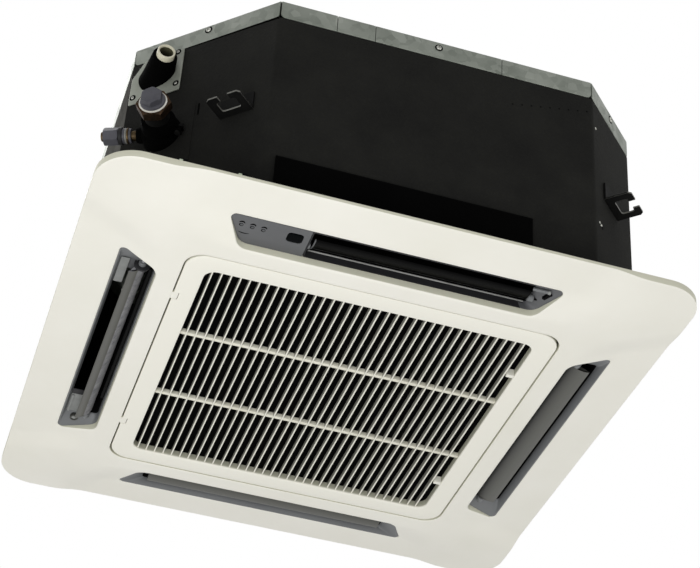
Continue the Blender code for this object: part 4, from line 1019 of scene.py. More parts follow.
@dataclass
class Grille:
    """Intake grille: a flat moulded frame, 35 upright slats, two cross bars and two slide latches."""

    half: float = 223.3 * MM
    corner: float = 25 * MM
    face: float = 0.4 * MM
    opening: float = 198 * MM
    opening_corner: float = 14 * MM
    depth: float = 13 * MM
    slat_count: int = 35
    slat_pitch: float = 11.08 * MM
    slat_offset: float = -1.7 * MM
    slat_thick: float = 1.8 * MM
    slat_face: float = 2.6 * MM
    slat_top: float = 10.5 * MM
    bar_places: tuple = (-66 * MM, 66 * MM)
    latch_places: tuple = (-130 * MM, 130 * MM)
    hinge_places: tuple = (-139 * MM, 139 * MM)
    edge_rounds: tuple = (1.0 * MM, 1.4 * MM)
    skin: float = 2.5 * MM
    border_thick: float = 3 * MM
    notch_x: float = -216.9 * MM
    notch_half: float = 6.5 * MM
    post_span: tuple = (6.6 * MM, 11.5 * MM)
    post_top: float = 7.2 * MM
    slat_taper: float = 0.72
    trim: float = 0.8 * MM
    bar: tuple = (-2.2 * MM, 2.5 * MM, 4.4 * MM)
    latch_size: tuple = (9.0 * MM, 2.7 * MM, 1.2 * MM)

    def frame(self) -> bpy.types.Object:
        """Border with rounded edges, a wall round the slats, one round the outside, and hinge posts."""
        outer, inner = self.edge_rounds
        rows = [(self.half - back, self.corner - back, self.face + up)
                for back, up in reversed(fillet(outer))]
        rows += [(self.opening + back, self.opening_corner + back, self.face + up)
                 for back, up in fillet(inner)]
        skin, floor = self.skin, self.face + self.border_thick
        rows += [(self.opening, self.opening_corner, self.slat_top),
                 (self.opening + skin, self.opening_corner + skin, self.slat_top),
                 (self.opening + skin, self.opening_corner + skin, floor),
                 (self.half - skin, self.corner - skin, floor),
                 (self.half - skin, self.corner - skin, self.depth), (self.half, self.corner, self.depth)]
        bm = bmesh.new()
        skin_loops(bm, square_loops(rows, 24, 12), ring=True)
        for place in self.hinge_places:
            for sign in (-1, 1):
                near, far = sorted(place + sign * reach for reach in self.post_span)
                block(bm, (-self.half + 1.5 * MM, near, self.face + 1.5 * MM),
                      (self.notch_x, far, self.post_top))
        return smooth_object("grille_frame", bm, 35.0)

    def cut_notches(self, frame: bpy.types.Object) -> None:
        """Cut the two hinge notches out of the frame's left edge."""
        bm = bmesh.new()
        for place in self.hinge_places:
            block(bm, (-self.half - 5 * MM, place - self.notch_half, -5 * MM),
                  (self.notch_x, place + self.notch_half, 18 * MM))
        carve(frame, smooth_object("notch_tool", bm))
        frame.data.shade_smooth()
        frame.data.set_sharp_from_angle(angle=math.radians(35))

    def slat(self) -> bpy.types.Object:
        """One slat from -1 to 1 along Y, with a round lower edge and a thinner back."""
        thick, low = self.slat_thick / 2, self.slat_face
        turns = [math.radians(180 * k / 8) for k in range(9)]
        section = [(thick * math.cos(turn), low + thick - thick * math.sin(turn) * 0.9) for turn in turns]
        section += [(-thick * self.slat_taper, self.slat_top), (thick * self.slat_taper, self.slat_top)]
        bm = bmesh.new()
        skin_loops(bm, [[Vector((x, y, z)) for x, z in section] for y in (-1.0, -0.5, 0.0, 0.5, 1.0)],
                   caps=True)
        return smooth_object("slat_pattern", bm)

    def slats(self) -> bpy.types.Object:
        """All slats, each trimmed to the rounded opening."""
        recipe = Recipe("slat_row", {"Count": int, "Pitch": float, "Offset": float, "Reach": float,
                                     "Corner": float, "Slat": bpy.types.Object,
                                     "Material": bpy.types.Material})
        place = recipe.add("ShaderNodeSeparateXYZ", None,
                           {0: recipe.add("GeometryNodeInputPosition").outputs[0]})
        sums = {label: recipe.given(label) for label in ("Count", "Pitch", "Offset", "Reach", "Corner")}
        sums["x"] = place.outputs["X"]
        # Each row is a result, an operation, and its first and second value
        for result, operation, first, second in (
                ("last", "SUBTRACT", "Count", 1.0), ("length", "MULTIPLY", "last", "Pitch"),
                ("row start", "MULTIPLY", "length", -0.5), ("start", "ADD", "row start", "Offset"),
                ("straight", "SUBTRACT", "Reach", "Corner"), ("far", "ABSOLUTE", "x", 0.0),
                ("past", "SUBTRACT", "far", "straight"), ("over", "MAXIMUM", "past", 0.0),
                ("corner square", "POWER", "Corner", 2.0), ("over square", "POWER", "over", 2.0),
                ("rest", "SUBTRACT", "corner square", "over square"), ("kept", "MAXIMUM", "rest", 0.0),
                ("drop", "SQRT", "kept", 0.0), ("half length", "ADD", "straight", "drop")):
            values = {0: sums.get(first, first), 1: sums.get(second, second)}
            sums[result] = recipe.add("ShaderNodeMath", {"operation": operation}, values).outputs[0]
        first = recipe.add("ShaderNodeCombineXYZ", None, {"X": sums["start"]})
        step = recipe.add("ShaderNodeCombineXYZ", None, {"X": sums["Pitch"]})
        line = recipe.add("GeometryNodeMeshLine", {"mode": "OFFSET", "count_mode": "TOTAL"},
                          {"Count": sums["Count"], "Start Location": first.outputs[0],
                           "Offset": step.outputs[0]})
        scale = recipe.add("ShaderNodeCombineXYZ", None, {"X": 1.0, "Y": sums["half length"], "Z": 1.0})
        pattern = recipe.add("GeometryNodeObjectInfo", None, {"Object": recipe.given("Slat")})
        placed = recipe.add("GeometryNodeInstanceOnPoints", None,
                            {"Points": line.outputs["Mesh"], "Instance": pattern.outputs["Geometry"],
                             "Scale": scale.outputs[0]})
        recipe.close(placed.outputs["Instances"], recipe.given("Material"))
        slat = self.slat()
        made = recipe.run("grille_slats", {"Count": self.slat_count, "Pitch": self.slat_pitch,
                                           "Offset": self.slat_offset, "Reach": self.opening + self.trim,
                                           "Corner": self.opening_corner + self.trim, "Slat": slat,
                                           "Material": SLAT_ABS.material()})
        bpy.data.objects.remove(slat)
        return made

    def bars(self) -> bpy.types.Object:
        """Cross bars behind the slats' lower edges."""
        bm = bmesh.new()
        front, back, low = self.bar
        for place in self.bar_places:
            block(bm, (-self.opening - self.trim, place + front, low),
                  (self.opening + self.trim, place + back, self.slat_top - 0.4 * MM))
        round_edges(bm, 0.5 * MM)
        return smooth_object("grille_bars", bm)

    def latch(self, place: float) -> bpy.types.Object:
        """Small slide latch, a block with crisp edges."""
        bm = bmesh.new()
        length, half, low = self.latch_size
        end = self.opening - GAP
        block(bm, (end - length, place - half, low), (end, place + half, self.slat_top))
        round_edges(bm, 0.25 * MM)
        return smooth_object("slide_latch", bm, weighted=True)

    def build(self) -> None:
        """Make the grille's pieces and put them in the frame."""
        frame = self.frame()
        self.cut_notches(frame)
        dress(frame, "grille", FRAME_ABS, "panel_white", "intake_grille")
        dress(self.slats(), "grille", SLAT_ABS, "panel_white")
        dress(self.bars(), "grille", BAR_ABS, "panel_white")
        for place, node in zip(self.latch_places, ("latch_front", "latch_back")):
            dress(self.latch(place), "grille", PANEL_ABS, "panel_white", node)


@dataclass
class AirFilter:
    """Washable filter on the back of the slats: a net in a frame with three ribs."""

    half: float = 206.5 * MM
    border: float = 8 * MM
    low: float = 10.8 * MM
    top: float = 13.3 * MM
    ribs: tuple = (-103.2 * MM, 0.0, 103.2 * MM)
    rib_half: float = 1.5 * MM
    corners: tuple = (10 * MM, 4 * MM)

    def build(self) -> None:
        """Make the filter's pieces and put them in the frame."""
        inner = self.half - self.border
        round_out, round_in = self.corners
        rows = [(self.half, round_out, self.low), (self.half, round_out, self.top),
                (inner, round_in, self.top), (inner, round_in, self.low)]
        bm = bmesh.new()
        skin_loops(bm, square_loops(rows, 4, 8), ring=True)
        for x in self.ribs:
            block(bm, (x - self.rib_half, -inner, self.low + 0.9 * MM),
                  (x + self.rib_half, inner, self.top - GAP))
        dress(smooth_object("filter_frame", bm), "grille", FILTER_FRAME, "filter_black")
        rows = [(inner + 0.5 * MM, round_in, self.low + lift_up) for lift_up in (0.2 * MM, 0.7 * MM)]
        bm = bmesh.new()
        skin_loops(bm, square_loops(rows, 4, 8), caps=True)
        dress(smooth_object("filter_net", bm), "grille", FILTER_NET, "filter_black", "air_filter")


@dataclass(frozen=True)
class Fitting:
    """Small fixed piece in an air slot, as built on the front, with its lengths in millimetres.

    Attributes:
        name: its name, after the side's word.
        finish: its surface.
        boxes: low and high corner of each box, which get rounded edges.
        profile: (radius, height) pairs that are turned about an axis.
        origin: where the axis starts.
        heading: direction of the axis.
        steps: parts of the turn.
        ring: the profile is closed on itself.
    """

    name: str
    finish: Finish
    boxes: tuple = ()
    profile: tuple = ()
    origin: tuple = (0.0, 0.0, 0.0)
    heading: tuple = (1.0, 0.0, 0.0)
    steps: int = 24
    ring: bool = False

    def build(self, side: Side) -> None:
        """Make the piece, turn it to its side and put it in the frame."""
        piece = Piece(side.word + "_" + self.name, self.finish, "insert_grey")
        for low, high in self.boxes:
            piece.box(low, high)
        if self.boxes:
            piece.rounded(0.3)
        if self.profile:
            place = axis_place(*mm([self.origin]), self.heading)
            piece.turned(self.profile, place, self.steps, self.ring)
        piece.done(35.0, side.turn, weighted=bool(self.boxes))


@dataclass
class AirSlot:
    """One air outlet: the grey insert with its bearings, and the bowed louvre that turns in it."""

    side: Side
    slot: SlotPlan
    face: float = 9.3 * MM
    lip: float = 1.2 * MM
    top: float = 19.7 * MM
    throat_inner: float = 251.5 * MM
    throat_outer: float = 291.2 * MM
    throat_half: float = 165.5 * MM
    axis_out: float = 266 * MM
    axis_z: float = 15.5 * MM
    louvre_half: float = 160 * MM
    blade_inner: tuple = (-8 * MM, 3.5 * MM)
    blade_outer: tuple = (17.5 * MM, -4.5 * MM)
    sag: float = 3 * MM
    thick: float = 2 * MM
    open_tilt: float = 26.0
    bevel: float = 0.35 * MM
    throat_corner: float = 4 * MM
    blade_edge: float = 0.04
    cheek: tuple = ((-7.4, 3.9), (-5.6, 0.2), (-1.0, -3.2), (5.0, -5.0), (11.0, -5.6), (17.0, -4.8),
                    (12.0, -1.4), (6.4, 1.4), (2.6, 3.2), (0.0, 3.7), (-3.0, 4.4))
    cheek_thick: float = 1.6 * MM
    rim: tuple = ((-1.3, -0.7), (0.0, -0.7), (0.0, 0.5), (-1.3, 0.5))
    pin: float = 2 * MM
    wall_end: float = 159 * MM
    flock_end: float = 3.6 * MM
    rod_opening: tuple = ((175.8, -275.4), (179.2, -274.4), (184.6, -285.0), (180.4, -287.2))
    rod_levels: tuple = (9.45, 13.0)

    @property
    def start(self) -> float | None:
        """Where the insert's left end is cut square, for the front slot's plate."""
        return self.slot.plate_end if self.side is Side.FRONT else None

    @property
    def throat_start(self) -> float:
        """Left end of the throat."""
        return self.slot.plate_end + self.lip + GAP if self.side is Side.FRONT else -self.throat_half

    @property
    def blade_start(self) -> float:
        """Left end of the louvre's blade."""
        return self.slot.plate_end + 7 * MM if self.side is Side.FRONT else -self.louvre_half

    @property
    def axis(self) -> Matrix:
        """Matrix whose Z axis is the louvre's pivot axis, from the slot's middle to the right."""
        return axis_place((0, -self.axis_out, self.axis_z), (1, 0, 0))

    @property
    def tilt(self) -> Matrix:
        """Turn of the blade's section at rest, where the left louvre stands open."""
        return Matrix.Rotation(-math.radians(self.open_tilt if self.side is Side.LEFT else 0.0), 2)

    def across(self, x: float, section: list) -> list[Vector]:
        """Put a section, as (out, up) from the pivot, at one place along the slot."""
        return [Vector((x, -self.axis_out - p.x, self.axis_z + p.y)) for p in section]

    def insert(self) -> bpy.types.Object:
        """Frame that narrows from the slot to the throat, with a rounded visible lip."""
        edge = [p for p, _ in self.slot.outline(GAP, self.start)]
        worn = [p for p, _ in self.slot.outline(GAP + self.bevel, self.start)]
        mouth = [p for p, _ in self.slot.outline(GAP + self.lip, self.start)]
        corners = [(self.throat_start, -self.throat_outer), (self.throat_half, -self.throat_outer),
                   (self.throat_half, -self.throat_inner), (self.throat_start, -self.throat_inner)]
        throat = [p for p, _ in outline_with_normals(corners, [self.throat_corner] * 4,
                                                     self.slot.splits(self.start))]
        loops = [lift(edge, self.top), lift(edge, self.face + self.bevel), lift(worn, self.face),
                 lift(mouth, self.face)]
        for share in (0.06, 0.18, 0.34, 0.52, 0.72, 0.9, 1.0):
            ease = 1 - (1 - share) ** 1.5
            loops.append(lift([a.lerp(b, ease) for a, b in zip(mouth, throat)],
                              self.face + (self.top - self.face) * share))
        bm = bmesh.new()
        skin_loops(bm, loops, ring=True)
        return smooth_object("insert_" + self.side.word + "_moulding", bm, 30.0)

    def bearings(self) -> bpy.types.Object:
        """Pivot cups at the ends of the throat, each a short tube on a web."""
        right = (self.louvre_half + 1.2 * MM, self.throat_half + 3 * MM)
        left = (-right[1], -right[0])
        if self.side is Side.FRONT:
            left = (self.throat_start - 0.2 * MM, self.blade_start - 2.5 * MM)
        bm = bmesh.new()
        for low, high in (right, left):
            revolve(bm, [(4.0 * MM, low), (4.6 * MM, low + 0.5 * MM), (4.6 * MM, high - 0.5 * MM),
                         (4.0 * MM, high), (2.5 * MM, high), (2.5 * MM, low)], self.axis, 24, ring=True)
            web = (low + 0.8 * MM, high) if low > 0 else (low, high - 0.8 * MM)
            block(bm, (web[0], -self.axis_out - 3.4 * MM, self.axis_z + 3.6 * MM),
                  (web[1], -self.axis_out + 3.4 * MM, self.top + 1.5 * MM))
        return smooth_object("insert_" + self.side.word + "_bearings", bm, 30.0)

    def section(self, steps: int = 14) -> list[Vector]:
        """Outline across the blade, as (out, up) from the pivot, with round edges."""
        start, end = Vector(self.blade_inner), Vector(self.blade_outer)
        chord = end - start
        normal = Vector((chord.y, -chord.x)).normalized()
        lower, upper = [], []
        for i in range(steps + 1):
            share = 0.5 - 0.5 * math.cos(math.pi * i / steps)
            edge = min(1.0, min(share, 1 - share) / self.blade_edge)
            half = normal * self.thick / 2 * math.sqrt(1 - (1 - edge) ** 2)
            middle = start + chord * share + normal * self.sag * 4 * share * (1 - share)
            lower.append(middle + half)
            upper.append(middle - half)
        return [self.tilt @ p for p in lower + list(reversed(upper[1:-1]))]

    def louvre(self) -> bpy.types.Object:
        """Bowed blade with a rounded end plate and a pivot pin at each end."""
        start, end = self.blade_start, self.louvre_half
        bm = bmesh.new()
        skin_loops(bm, [self.across(start + (end - start) * k / 20, self.section()) for k in range(21)],
                   caps=True)
        reach = 8.0 * MM if self.side is Side.FRONT else 16 * MM
        revolve(bm, [(self.pin, end - 3 * MM), (self.pin, end + 15.5 * MM), (0.8 * self.pin, end + 16 * MM)],
                self.axis, 20)
        revolve(bm, [(self.pin, start - reach), (self.pin, start + 3 * MM)], self.axis, 20)
        cheek = [self.tilt @ Vector(p) for p in mm(self.cheek)]
        for pair in ((start, start + self.cheek_thick), (end - self.cheek_thick, end)):
            skin_loops(bm, [self.across(x, cheek) for x in pair], caps=True)
        return smooth_object("louvre_" + self.side.word + "_blade", bm, 40.0)

    def cheek_rim(self) -> bpy.types.Object:
        """Pale rim on the left end of the blade, a painted highlight on its lit end."""
        lower = self.section()[:15]
        bm = bmesh.new()
        skin_loops(bm, [[Vector((self.blade_start + x, -self.axis_out - p.x, self.axis_z + p.y + up))
                         for x, up in mm(self.rim)] for p in lower], caps=True)
        return smooth_object("louvre_front_cheek_rim", bm)

    def front_fittings(self) -> tuple:
        """Painted highlight along the long wall's edge, and the louvre's drive rod with its knob."""
        start, end, wall = self.throat_start / MM, self.throat_half / MM, self.throat_inner / MM
        rod = {"origin": (161.6, -284.4, 13.8), "heading": (22.2, -5.4, -4.6)}
        return (
            Fitting("wall_edge", EDGE_HIGHLIGHT, profile=((1.0, 0.0), (1.0, end - start - 8)),
                    origin=(start + 4, -wall - 0.7, 19.0), steps=12),
            Fitting("drive_rod", INSERT_ABS, profile=((2.2, 0.0), (2.2, 18.0)), **rod),
            Fitting("drive_rod_knob", INSERT_PALE,
                    profile=((2.3, 17.4), (2.6, 18.0), (2.6, 20.0), (2.0, 20.6)), **rod))

    def left_fittings(self) -> tuple:
        """Seal along the wall, stepped shelf and disc at one end, and hood, rib and boss at the other."""
        boss = {"origin": (-174, -279.5, 0), "heading": (0, 0, 1)}
        return (
            Fitting("rubber_seal", NEAR_BLACK_SHADE_AND_SEAL, boxes=(((-118, -257.0, 12.4), (161, -253.6, 13.6)),)),
            Fitting("stepped_shelf", INSERT_PALE, boxes=(((120, -291.4, 16.4), (167, -281.2, 17.6)),)),
            Fitting("shelf_step", PLATE_ABS, boxes=(((146.5, -281.2, 18.9), (167, -271.6, 19.9)),)),
            Fitting("end_disc", INSERT_SHADE, profile=((9.4, 0.0), (9.4, 2.0), (8.8, 2.4)),
                    origin=(161.4, -self.axis_out / MM, self.axis_z / MM), steps=48),
            Fitting("pivot_hood", INSERT_PALE, boxes=(((-166.5, -291.4, 17.4), (-128, -277.5, 18.6)),
                                                      ((-166.5, -290.4, 15.6), (-130, -287.4, 17.6)))),
            Fitting("cross_rib", INSERT_SHADE, boxes=(((-127.6, -291.4, 17.4), (-117, -270, 18.6)),)),
            Fitting("pivot_boss", LOUVRE_ABS, steps=32, ring=True, **boss,
                    profile=((5.2, 18), (5.2, 11.4), (4.6, 10.8), (3.9, 11.2), (3.9, 17))),
            Fitting("pivot_cap", INSERT_PALE, profile=((3.6, 17), (3.6, 12.6), (2.6, 11.8), (0.8, 11.5)),
                    **boss))

    def build(self) -> None:
        """Make the outlet's pieces and put them in the frame."""
        word = self.side.word
        front = self.side is Side.FRONT
        insert, bearings, louvre = self.insert(), self.bearings(), self.louvre()
        if front:
            # Left of wall_end the front insert gets the grey ABS darkened as painted shade
            two_finishes(insert, PLATE_ABS, INSERT_SHADE, lambda face: face.center.x < self.wall_end)
        if self.side is Side.LEFT:
            # The inner part of the left louvre gets the grey flock, made paler as painted light
            two_finishes(louvre, LOUVRE_ABS, FLOCK,
                         lambda face: -face.center.y < self.axis_out + self.flock_end)
        for piece, body, finish, slot, nodes in (
                (insert, "casing", PLATE_ABS if front else INSERT_ABS, "insert_grey", ["insert_" + word]),
                (bearings, "casing", INSERT_ABS, "insert_grey", []),
                # The front louvre gets near black, painted shade over its grey ABS
                (louvre, word + "_louvre", NEAR_BLACK_SHADE_AND_SEAL if front else LOUVRE_ABS, "louvre_grey",
                 ["louvre_" + word])):
            piece.data.transform(self.side.turn)
            dress(piece, body, finish, slot, *nodes)
        fittings = ()
        if front:
            fittings = self.front_fittings()
        if self.side is Side.LEFT:
            fittings = self.left_fittings()
        for fitting in fittings:
            fitting.build(self.side)
        if front:
            opening = Piece("front_rod_opening", DARK_MARK, "window_black")
            opening.prism(self.rod_opening, self.rod_levels).done(35.0)
            dress(self.cheek_rim(), "front_louvre", PLATE_ABS, "louvre_grey")


@dataclass
class IndicatorPlate:
    """Plate at the front slot's left end, with the receiver's window and three lamps."""

    face: float = 9.3 * MM
    window: tuple = (-118.5 * MM, -279 * MM)
    window_size: tuple = (18.5 * MM, 16.5 * MM)
    window_corner: float = 4.2
    window_crown: tuple = ((0.0, 2.6), (0.0, 0.15), (0.15, -0.05), (0.5, -0.18), (3.0, -0.3), (6.0, -0.35))
    lamps: tuple = ((-180.2, -283.3), (-167.6, -282.6), (-154.8, -282.0))
    lens_shift: float = 2.4
    lens: tuple = ((1.7, 0.2), (1.7, -0.05), (1.3, -0.3), (0.4, -0.45))
    mark_half: float = 0.12

    def window_piece(self) -> bpy.types.Object:
        """Smoked window with a faint crown."""
        loops = []
        for inset, level in self.window_crown:
            wide, deep = (size / 2 - GAP - inset * MM for size in self.window_size)
            radius = max(0.5, self.window_corner - inset) * MM
            pairs = outline_with_normals([(-wide, -deep), (wide, -deep), (wide, deep), (-wide, deep)],
                                         [radius] * 4, [3] * 4)
            loops.append([Vector((p.x + self.window[0], p.y + self.window[1], self.face + level * MM))
                          for p, _ in pairs])
        bm = bmesh.new()
        skin_loops(bm, loops, caps=True)
        return smooth_object("receiver_window_lens", bm, 50.0)

    def marks(self) -> bpy.types.Object:
        """Dark arc and ring at each lamp, and a thin curved line beside the first."""
        first_x, first_y = self.lamps[0]
        arcs = [(x, y, 3.2, 1.2, 195, 345) for x, y in self.lamps]
        arcs += [(x, y + self.lens_shift, 2.2, 0.55, 0, 350) for x, y in self.lamps]
        arcs.append((first_x + 6.0, first_y + 0.5, 15.5, 0.75, 68, 116))
        bm = bmesh.new()
        for x, y, radius, half, start, end in arcs:
            rows = []
            for k in range(13):
                angle = math.radians(start + (end - start) * k / 12)
                heading = Vector((math.cos(angle), math.sin(angle), 0))
                centre = Vector((x * MM, y * MM, self.face)) + heading * radius * MM
                out = heading * half * MM * (0.25 + 0.75 * math.sin(math.pi * k / 12))
                up = Vector((0, 0, self.mark_half * MM))
                rows.append([centre - out - up, centre + out - up, centre + out + up, centre - out + up])
            skin_loops(bm, rows, caps=True)
        return smooth_object("indicator_marks", bm)

    def lenses(self) -> bpy.types.Object:
        """Small domed lamp lenses."""
        bm = bmesh.new()
        for x, y in self.lamps:
            place = Matrix.Translation((x * MM, (y + self.lens_shift) * MM, self.face))
            revolve(bm, mm(self.lens), place, 24)
        return smooth_object("indicator_lenses", bm, 60.0)

    def build(self, nodes: dict) -> None:
        """Make the plate's pieces and put them in the frame."""
        plate = rounded_copy(nodes["indicator_plate"], "indicator_plate_moulding", 0.35 * MM)
        dress(plate, "casing", PLATE_ABS, "insert_grey", "indicator_plate")
        dress(self.window_piece(), "casing", SMOKED_PLASTIC, "window_black", "receiver_window")
        dress(self.marks(), "casing", DARK_MARK, "window_black")
        dress(self.lenses(), "casing", LAMP_LENS, "insert_grey")


@dataclass
class Screws:
    """Pan-head screws with a cross recess, set along given directions."""

    radius: float = 3.6 * MM
    height: float = 2.0 * MM
    recess_arm: float = 0.62
    recess_half: float = 0.45 * MM
    recess_depth: float = 1.1 * MM
    scale: float = 1.0

    def head(self) -> bpy.types.Object:
        """One head, its seat at the origin and its top along +Z."""
        profile = [(self.radius, 0.0)]
        for k in range(6):
            angle = math.radians(15 + 75 * k / 5)
            reach = math.cos(angle) ** 0.7 if k < 5 else 0.4
            profile.append((self.radius * reach, self.height * math.sin(angle)))
        bm = bmesh.new()
        revolve(bm, profile, HERE, 28)
        head = smooth_object("screw_pattern", bm, 40.0)
        arm, half = self.radius * self.recess_arm, self.recess_half
        low, high = self.height - self.recess_depth, self.height + MM
        bm = bmesh.new()
        for x, y in ((arm, half), (half, arm)):
            block(bm, (-x, -y, low), (x, y, high))
        carve(head, smooth_object("recess_tool", bm))
        return head

    def build(self, name: str, places: list) -> None:
        """Set a head at each place.

        Args:
            name: name of the piece.
            places: pairs of seat and outward direction.
        """
        recipe = Recipe(name + "_recipe", {"Scale": float, "Head": bpy.types.Object,
                                           "Material": bpy.types.Material})
        heading = recipe.add("GeometryNodeInputNamedAttribute", {"data_type": "FLOAT_VECTOR"},
                             {"Name": "heading"})
        turn = recipe.add("FunctionNodeAlignRotationToVector", {"axis": "Z"},
                          {"Vector": heading.outputs["Attribute"]})
        pattern = recipe.add("GeometryNodeObjectInfo", None, {"Object": recipe.given("Head")})
        size = recipe.add("ShaderNodeCombineXYZ", None, {axis: recipe.given("Scale") for axis in "XYZ"})
        placed = recipe.add("GeometryNodeInstanceOnPoints", None,
                            {"Points": recipe.given("Geometry"), "Instance": pattern.outputs["Geometry"],
                             "Rotation": turn.outputs["Rotation"], "Scale": size.outputs[0]})
        recipe.close(placed.outputs["Instances"], recipe.given("Material"))
        seed = bpy.data.meshes.new(name + "_seats")
        seed.from_pydata([tuple(place) for place, _ in places], [], [])
        layer = seed.attributes.new("heading", "FLOAT_VECTOR", "POINT")
        for item, (_, direction) in zip(layer.data, places):
            item.vector = direction
        head = self.head()
        piece = recipe.run(name, {"Scale": self.scale, "Head": head, "Material": SCREW_STEEL.material()},
                           seed)
        bpy.data.objects.remove(head)
        piece.data.shade_smooth()
        piece.data.set_sharp_from_angle(angle=math.radians(38))
        dress(piece, "casing", SCREW_STEEL, "galvanised")


class Facing(Enum):
    """Outward directions, in plan, of the casing's walls that carry screws."""

    FRONT = (0, -1, 0)
    FRONT_RIGHT = (1, -1, 0)
    PIPE = (-1, -1, 0)

    @property
    def heading(self) -> Vector:
        """The direction as a unit vector."""
        return Vector(self.value).normalized()


@dataclass
class Casing:
    """Octagonal casing: a foam jacket, a bare left wall, and a galvanised lid with folded tabs."""

    half: float = 313 * MM
    top: float = 332.4 * MM
    sheet: float = 1.5 * MM
    fold: float = 26.8 * MM
    bend: float = 2.2 * MM
    pipe_leg: float = 144.5 * MM
    corner_leg: float = 84.4 * MM
    tab_round: float = 6 * MM
    tab_gap: float = 1.3 * MM
    corner_round: float = 8.5 * MM
    front_seams: tuple = (-97.9 * MM, -50.2 * MM, 110.9 * MM)
    seam_half: float = 0.4 * MM
    hem: float = 3.2 * MM
    jacket_low: float = 20 * MM
    jacket_thick: float = 8 * MM
    front_screw: tuple = (29.8 * MM, 322.4 * MM)
    corner_screws: tuple = ((-239.3, -242.2, 324.6, Facing.PIPE), (272.2, -269.4, 321.6, Facing.FRONT_RIGHT))
    wall_screws: tuple = ((237.2, -304.4, 118.3, Facing.FRONT_RIGHT),
                          (240.6, -301.0, 117.6, Facing.FRONT_RIGHT),
                          (234.5, -307.1, 262.8, Facing.FRONT_RIGHT))
    wall_hole: tuple = (243.2, -298.4, 116.0, Facing.FRONT_RIGHT)
    dent_row: tuple = ((125, 262), (221, 281))
    dent_count: int = 9

    def octagon(self, inset: float = 0.0) -> list[Vector]:
        """Corners of the lid's plan, anticlockwise from the pipe corner's front."""
        half = self.half - inset
        trim = inset * (2 - math.sqrt(2))
        pipe, leg = self.pipe_leg - trim, self.corner_leg - trim
        return [Vector(p) for p in (
            (-half + pipe, -half), (half - leg, -half), (half, -half + leg), (half, half - leg),
            (half - leg, half), (-half + leg, half), (-half, half - leg), (-half, -half + pipe))]

    def tab(self, bm: bmesh.types.BMesh, start: Vector, end: Vector, round_start: bool,
            round_end: bool) -> None:
        """Add one folded tab between two points of the lid's edge.

        Args:
            bm: mesh to add to.
            start: first point, on the outer face.
            end: last point.
            round_start: round the lower corner at the start.
            round_end: round the lower corner at the end.
        """
        along = (end - start).normalized()
        inward = Vector((-along.y, along.x))
        length = (end - start).length
        radius = self.tab_round
        eased = [radius * (1 - math.cos(math.radians(90 * k / 6))) for k in range(7)]
        stops = list(eased) if round_start else [0.0]
        tail = [length - reach for reach in reversed(eased)] if round_end else [length]
        stops += [s for s in [length * k / 8 for k in range(1, 8)] if stops[-1] < s < tail[0]] + tail
        low, thick = self.top - self.fold, self.sheet
        loops = []
        for stop in stops:
            rise = 0.0
            if round_start and stop < radius:
                rise = radius - math.sqrt(max(0.0, radius ** 2 - (radius - stop) ** 2))
            if round_end and stop > length - radius:
                rise = radius - math.sqrt(max(0.0, radius ** 2 - (radius - (length - stop)) ** 2))
            foot = low + rise
            section = [(self.hem, self.top - thick), (self.hem, self.top)]
            section += [(back, self.top - down) for back, down in fillet(self.bend)]
            section += [(0.0, foot + 0.3 * MM), (0.3 * MM, foot), (thick - 0.2 * MM, foot),
                        (thick, foot + 0.2 * MM), (thick, self.top - self.bend - 0.5 * MM)]
            loops.append([Vector((start.x + along.x * stop + inward.x * depth,
                                  start.y + along.y * stop + inward.y * depth, z)) for depth, z in section])
        skin_loops(bm, loops, caps=True)

    def lid(self) -> bpy.types.Object:
        """Flat lid with a folded tab on each facet, parted at the seams."""
        bm = bmesh.new()
        corners = self.octagon()
        for index in range(8):
            start, end = corners[index], corners[(index + 1) % 8]
            along = (end - start).normalized()
            stops = [start + along * self.tab_gap]
            if index == 0:
                for seam in self.front_seams:
                    stops += [Vector((seam + side, start.y)) for side in (-self.seam_half, self.seam_half)]
            stops.append(end - along * self.tab_gap)
            for k in range(0, len(stops), 2):
                self.tab(bm, stops[k], stops[k + 1], k == 0, k + 2 == len(stops))
        inner = self.octagon(3.0 * MM)
        skin_loops(bm, [lift(inner, self.top - self.sheet), lift(inner, self.top)], caps=True)
        return smooth_object("lid_with_tabs", bm, 35.0)

    def jacket(self) -> bpy.types.Object:
        """One sheet of foam round seven walls, from the pipe corner to the back left corner."""
        corners = self.octagon()
        chain = [corners[7]] + corners[:7]
        normals = []
        for a, b in zip(chain, chain[1:]):
            run = (b - a).normalized()
            normals.append(Vector((run.y, -run.x)))
        pairs = [(chain[0], self.mitre(normals[0], Vector((-1, 0))))]
        for index in range(1, 7):
            before, after = normals[index - 1], normals[index]
            half = math.acos(before.dot(after)) / 2
            centre = chain[index] - (before + after).normalized() * self.corner_round / math.cos(half)
            first = math.atan2(before.y, before.x)
            for k in range(9):
                angle = first + 2 * half * k / 8
                normal = Vector((math.cos(angle), math.sin(angle)))
                pairs.append((centre + normal * self.corner_round, normal))
        pairs.append((chain[7], self.mitre(normals[6], Vector((-1, 0)))))
        low, high, thick = self.jacket_low, self.top - self.fold - MM, self.jacket_thick
        section = [(0.8 * MM, low), (0.2 * MM, low + 0.2 * MM), (0.0, low + 0.8 * MM), (0.0, high - 0.8 * MM),
                   (0.2 * MM, high - 0.2 * MM), (0.8 * MM, high), (thick, high), (thick, low)]
        loops = [[Vector((p.x - n.x * depth, p.y - n.y * depth, z)) for depth, z in section]
                 for p, n in pairs]
        bm = bmesh.new()
        skin_loops(bm, loops, caps=True)
        return smooth_object("foam_jacket", bm, 30.0)

    def mitre(self, first: Vector, second: Vector) -> Vector:
        """Outward vector of a mitre between two walls, as long as it takes to keep the thickness."""
        middle = (first + second).normalized()
        return middle / middle.dot(first)

    def seats(self, rows: Iterable) -> list[tuple]:
        """Seat and outward direction of each row of x, y, z and facing."""
        return [(Vector(*mm([row[:3]])), row[3].heading) for row in rows]

